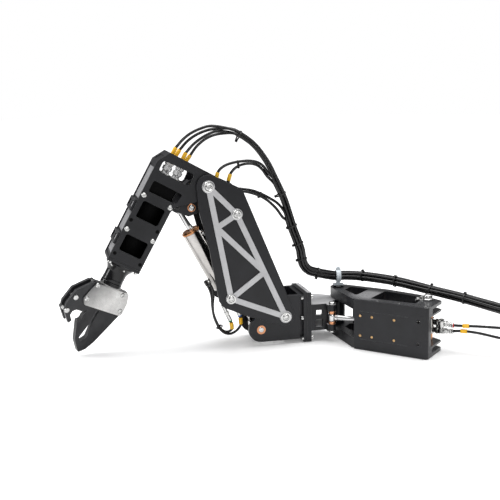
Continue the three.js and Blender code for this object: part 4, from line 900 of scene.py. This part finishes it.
elbow_run, boom_run, slew_run = Build(), Build(), Build()
CORDS = []
for key in ("f0", "f1", "f2", "f3", "b1", "b2", "c1", "c2"):
    lead, k0 = PATHS[key]
    whole = lead + [bundle(i, key) for i in range(k0, END + 1)]
    off = len(lead) - k0
    fr = frames(whole)
    i1, i2, i3 = S1 + off, S2 + off, S3 + off
    if key[0] == "f":
        tube(elbow_run, whole, HR, 16, fr, 0, i1, cap=(True, True))
        tube(boom_run, whole, HR, 16, fr, i1, i2)
    else:
        tube(boom_run, whole, HR, 16, fr, 0, i2)
    tube(slew_run, whole, HR, 16, fr, i2, i3)
    CORDS.append((key, whole[i3:], fr[i3:]))
o = elbow_run.make("hoses_over_elbow", None, RUBBER, 0, blend=BLEND_A, angle=50)
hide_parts("hose_bundle_fore")
o = boom_run.make("hoses_behind_boom", None, RUBBER, 0, blend=BLEND_B, angle=50)
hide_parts("hose_bundle_boom", "hose_branch_upper", "hose_branch_lower")
o = slew_run.make("hoses_over_slew", None, RUBBER, 0, blend=BLEND_C, angle=50)
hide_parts("hose_bundle_slew")

# hose-end sleeves and crimped ferrules at the forearm and boom
B, C = Build(), Build()
for key in ("f0", "f1", "f2", "f3"):
    lead = PATHS[key][0]
    sleeve_at(B, lead, 1.5, 20, SLEEVE_PROF)
    sleeve_at(C, lead, 0.2, 4, [(2.6, 0), (4.1, 0.05), (4.3, 0.1), (4.3, 0.9), (4.0, 1)])
B.make("sleeves_forearm", "forearm", SLEEVE, 0)
C.make("ferrules_forearm", "forearm", STEEL, 0)
B, C = Build(), Build()
for key, s0 in (("b1", 25), ("b2", 27)):
    lead = PATHS[key][0]
    sleeve_at(B, lead, s0, 17, SLEEVE_PROF)
    sleeve_at(C, lead, s0 - 12, 13, [(2.6, 0), (4.1, 0.05), (4.3, 0.1), (4.3, 0.9), (4.0, 1)])
B.make("sleeves_boom_top", "boom", SLEEVE, 0)
C.make("ferrules_boom_top", "boom", BLACKSTEEL, 0)

# free tails
for k, (key, path, fr) in enumerate(CORDS):
    # stagger the ends a little
    cut = [0, 2, 1, 3, 2, 0, 3, 1][k]
    path = path[: len(path) - cut]
    fr = fr[: len(path)]
    B = Build()
    tube(B, path, HR, 16, fr)
    o = B.make("hose_tail_" + key, "base", RUBBER, 0, angle=50)
    if k == 0:
        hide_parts("hose_bundle_tail")
    # crimped ferrule, swivel nut and dust cap on the end
    a = path[-1]
    d = fr[-1][0]
    E = Build()
    Me = along(a - d * 14, a + d * 10, BASE)
    E.turn([(3.2, 0), (5.0, 0.3), (5.2, 1), (5.2, 4), (4.7, 4.6), (5.2, 5.2), (5.2, 8.2), (4.7, 8.8), (5.2, 9.4), (5.2, 13.4), (4.6, 14), (3.6, 14.6), (3.6, 16), (5.6, 16.4, "h"), (5.6, 24.6, "h"), (4.8, 25.2), (3.8, 25.4), (3.8, 29), (3.2, 29.6)], Me, 36)
    e = E.make("hose_end_" + key, "base", STEEL, 0.1)

# the slew cylinder's two hoses
SR = 3.15
for name, cad_name, pts, sl in (
    ("upper", "hose_slew_upper", [(152, 12.6, 66.5), (172, 15.5, 67), (210, 20, 69.5), (262, 22, 72.5), (316, 25, 74)], 25),
    ("lower", "hose_slew_lower", [(152, 12.6, 52), (170, 15, 54.5), (206, 18, 55), (262, 20, 49.5), (316, 23.5, 44.5)], 21),
):
    path = spline(pts, STEP)
    fr = frames(path)
    B = Build()
    tube(B, path, SR, 16, fr, 0, 5)
    B.make("hose_start_slew_" + name, None, RUBBER, 0, blend=("slew_cylinder_barrel", "base", (path[0] * MM)[:], (path[5] * MM)[:]), angle=50)
    path, fr = path[5:], fr[5:]
    sl -= 5 * STEP
    B = Build()
    tube(B, path, SR, 16, fr)
    o = B.make("hose_tail_slew_" + name, "base", RUBBER, 0, replaces=[cad_name], angle=50)
    S = Build()
    sleeve_at(S, path, sl, 15, SLEEVE_PROF)
    s = S.make("sleeve_slew_" + name, "base", SLEEVE, 0)
    E = Build()
    a, d = path[-1], fr[-1][0]
    E.turn([(2.8, 0), (4.5, 0.3), (4.7, 1), (4.7, 4), (4.2, 4.6), (4.7, 5.2), (4.7, 10.4), (4.0, 11), (5.0, 12, "h"), (5.0, 19, "h"), (3.4, 20), (3.4, 23), (2.8, 23.6)], along(a - d * 10, a + d * 10, BASE), 36)
    e = E.make("hose_end_slew_" + name, "base", STEEL, 0.1)


# cable ties round the bundle: band, head and clipped end
def tie_on(B, p, t, n, b, r, turn_deg=0, w=3.6):
    M = Matrix(((n.x, b.x, t.x, p.x), (n.y, b.y, t.y, p.y), (n.z, b.z, t.z, p.z), (0, 0, 0, 1))) @ R(turn_deg, "Z")
    B.turn([(r - 0.2, -w / 2), (r + 0.9, -w / 2), (r + 1.15, -w / 2 + 0.3), (r + 1.15, w / 2 - 0.3), (r + 0.9, w / 2), (r - 0.2, w / 2)], M, 40, closed=True)
    B.box(r + 0.2, r + 4.2, -2.9, 2.9, -w / 2 - 1.0, w / 2 + 1.0, M)
    B.box(r + 1.0, r + 2.1, -7.0, -2.8, -w / 2 + 0.3, w / 2 - 0.3, M)


def ties(name, body, where, blend=None):
    B = Build()
    for s, turn_deg in where:
        i = min(max(int(round(s / STEP)), 0), END)
        t, n, b = MF[i]
        tie_on(B, MAIN[i], t, n, b, RING + HR + 0.25, turn_deg)
    B.make(name, body, TIE, 0.25, blend=blend)


ties("ties_elbow_run", None, [(near(A(-246, 505)) * STEP, 165)], BLEND_A)
ties("ties_boom_run", None, [(near(A(-146, 361)) * STEP, 200), (near(A(-119, 281)) * STEP, 160), (near(A(-104, 238)) * STEP, 185), (near(A(-95, 199)) * STEP, 170)], BLEND_B)
ties("ties_slew_run", None, [(near(A(-54, 159)) * STEP, 175)], BLEND_C)
ties("ties_tail", "base", [(near(Vector((-92, 51, 150.3))) * STEP, 0), (near(Vector((0, 43, 147.6))) * STEP, 20), (near(Vector((88, 37, 138))) * STEP, 340), (near(Vector((172, 36, 127.5))) * STEP, 10), (near(Vector((262, 36, 112.5))) * STEP, 30)])
B = Build()
for p, q, r in ((A(-250, 439.5, -1), A(-240, 441, -1), 7.4), (A(-197, 363, 2), A(-190, 359.5, 2), 5.6)):
    t = (q - p).normalized()
    n = (Vector((0, 0, 1)) - t * t.z).normalized()
    tie_on(B, p, t, n, t.cross(n), r, 200, 3.0)
B.make("ties_branches", "boom", TIE, 0.2)

# ------------------------------------------------------------------ elbow cylinder's own hoses
L1 = spline([A(-287, 69, -22), A(-282.4, 58.4, -22), A(-278.2, 48, -22), A(-280, 39.5, -22), A(-288, 34, -22), A(-297.5, 34.5, -22), A(-306.5, 41, -22), A(-316, 57, -22), A(-324, 79, -23), A(-327.5, 102, -24), A(-328, 121, -25), A(-331, 137, -27), A(-338, 154, -29), A(-344, 166, -27)], 3.0)
L2 = spline([A(-263, 80, -22), A(-258.5, 67, -22), A(-256.9, 57, -22), A(-259, 46, -22), A(-269.5, 34, -22), A(-283, 28, -22), A(-296, 30.5, -24), A(-308.5, 41, -27), A(-319.5, 61, -30), A(-326.5, 84, -32), A(-327.5, 108, -33), A(-325, 128, -32), A(-327, 146, -31), A(-334, 160, -29)], 3.0)
B, C, D = Build(), Build(), Build()
for p in (L1, L2):
    tube(B, p, 3.1, 16)
B.make("hoses_elbow_cylinder", "boom", RUBBER, 0, replaces=["hose_loop"], angle=50)
sleeve_at(C, L1, 14, 17, SLEEVE_PROF)
sleeve_at(C, L2, 14, 17, SLEEVE_PROF)
C.make("sleeves_elbow_cylinder", "boom", SLEEVE, 0)
for path, tall in ((L1, 46), (L2, 40)):
    d = (path[1] - path[0]).normalized()
    D.turn([(3, 0), (4.6, 0.5), (4.6, tall - 26), (5.4, tall - 25.5, "h"), (5.4, tall - 18, "h"), (3.6, tall - 17.5), (3.6, tall - 15.5), (4.8, tall - 15), (4.8, tall - 0.6), (4.2, tall)], along(path[0] - d * (tall - 9), path[0] + d * 9, BASE), 36)
D.make("fittings_elbow_cylinder", "boom", STEEL, 0.1)
G1, G2 = Build(), Build()
for G, path, k in ((G1, L1, 0), (G2, L2, 0)):
    d = (path[1] - path[0]).normalized()
    G.turn([(4.0, 0), (5.1, 0.3), (5.1, 2.6), (4.0, 2.9)], along(path[0] + d * 7.5, path[0] + d * 12, BASE), 30)
G1.make("port_mark_green", "boom", GREEN, 0)
G2.make("port_mark_blue", "boom", BLUE, 0)
B = Build()
p, q = L1[len(L1) * 42 // 100], L2[len(L2) * 42 // 100]
t = (L1[len(L1) * 42 // 100 + 1] - p).normalized()
n = (q - p).normalized()
n = (n - t * n.dot(t)).normalized()
tie_on(B, (p + q) / 2, t, n, t.cross(n), 7.4, 170, 3.0)
B.make("tie_elbow_cylinder", "boom", TIE, 0.2)

# hose rising from the gland end of the elbow cylinder into the elbow hub
UP = spline([A(-366, 287, -8), A(-370, 296, -8), A(-376.5, 306, -8), A(-385.5, 321, -8), A(-389, 330, -8), A(-389, 340, -7), A(-385, 352, -6)], 3.0)
B = Build()
tube(B, UP, 3.1, 16)
B.make("hose_gland_port", "elbow_cylinder_barrel", RUBBER, 0, angle=50)
B = Build()
sleeve_at(B, UP, 0, 14, [(2.6, 0), (4.1, 0.05), (4.3, 0.1), (4.3, 0.9), (4.0, 1)])
B.make("ferrule_gland_port", "elbow_cylinder_barrel", STEEL, 0)

# ================================================================== FLOOR, LIGHT
bm = bmesh.new()
bmesh.ops.create_grid(bm, x_segments=2, y_segments=2, size=14)
me = bpy.data.meshes.new("floor")
bm.to_mesh(me)
bm.free()
floor = bpy.data.objects.new("floor", me)
scene.collection.objects.link(floor)
floor.location = (0, 0, -0.0015)
m, t, b = material("floor_white_painted_glow")
b.inputs["Base Color"].default_value = (0.93, 0.93, 0.93, 1)
b.inputs["Roughness"].default_value = 0.9
b.inputs["Specular IOR Level"].default_value = 0.1
# painted glow: the floor emits light to the camera only, weakly near the arm and more strongly away from it, so it
# fades to white
fv = t.nodes.new("ShaderNodeTexCoord")
fl = t.nodes.new("ShaderNodeVectorMath")
fl.operation = "LENGTH"
t.links.new(fv.outputs["Object"], fl.inputs[0])
flp = t.nodes.new("ShaderNodeLightPath")
b.inputs["Emission Color"].default_value = (1, 1, 1, 1)
t.links.new(mul(t, ramp(t, fl.outputs["Value"], 0.2, 2.2, 0.16, 0.75), flp.outputs["Is Camera Ray"]), b.inputs["Emission Strength"])
me.materials.append(m)

world = bpy.data.worlds.new("studio")
scene.world = world
world.use_nodes = True
wt = world.node_tree
for nn in list(wt.nodes):
    wt.nodes.remove(nn)
wo = wt.nodes.new("ShaderNodeOutputWorld")
bg = wt.nodes.new("ShaderNodeBackground")
tc = wt.nodes.new("ShaderNodeTexCoord")
sep = wt.nodes.new("ShaderNodeSeparateXYZ")
wt.links.new(tc.outputs["Generated"], sep.inputs[0])
cr = wt.nodes.new("ShaderNodeValToRGB")
cr.color_ramp.elements[0].position = 0.0
cr.color_ramp.elements[0].color = (0.30, 0.30, 0.31, 1)
cr.color_ramp.elements[1].position = 1.0
cr.color_ramp.elements[1].color = (1.0, 1.0, 1.0, 1)
for at, g in ((0.18, 0.20), (0.45, 0.30), (0.72, 0.85)):
    e = cr.color_ramp.elements.new(at)
    e.color = (g, g, g * 1.01, 1)
wt.links.new(sep.outputs["Z"], cr.inputs[0])
wt.links.new(cr.outputs[0], bg.inputs["Color"])
bg.inputs["Strength"].default_value = 0.75
bg2 = wt.nodes.new("ShaderNodeBackground")
bg2.inputs["Color"].default_value = (1, 1, 1, 1)
bg2.inputs["Strength"].default_value = 1.0
lp = wt.nodes.new("ShaderNodeLightPath")
mx = wt.nodes.new("ShaderNodeMixShader")
wt.links.new(lp.outputs["Is Camera Ray"], mx.inputs[0])
wt.links.new(bg.outputs[0], mx.inputs[1])
wt.links.new(bg2.outputs[0], mx.inputs[2])
wt.links.new(mx.outputs[0], wo.inputs[0])


def area(name, loc, target, size, power, size_y=None):
    d = bpy.data.lights.new(name, "AREA")
    d.energy = power
    d.size = size
    if size_y:
        d.shape = "RECTANGLE"
        d.size_y = size_y
    o = bpy.data.objects.new(name, d)
    scene.collection.objects.link(o)
    o.location = loc
    o.rotation_euler = (Vector(target) - Vector(loc)).to_track_quat("-Z", "Y").to_euler()
    return o


area("top", (-0.2, 0.1, 2.1), (-0.2, -0.1, 0.2), 2.2, 40, 1.4)
area("key", (-1.9, -1.3, 1.1), (-0.3, -0.2, 0.25), 0.5, 17, 1.6)
area("fill", (1.3, -2.2, 1.3), (-0.1, -0.1, 0.25), 0.7, 11, 0.7)
area("rim", (0.9, 1.9, 1.2), (-0.2, 0, 0.3), 0.5, 12, 1.4)

scene.view_settings.view_transform = "Standard"
scene.view_settings.look = "None"
scene.view_settings.exposure = 0.0
scene.view_settings.gamma = 1.0
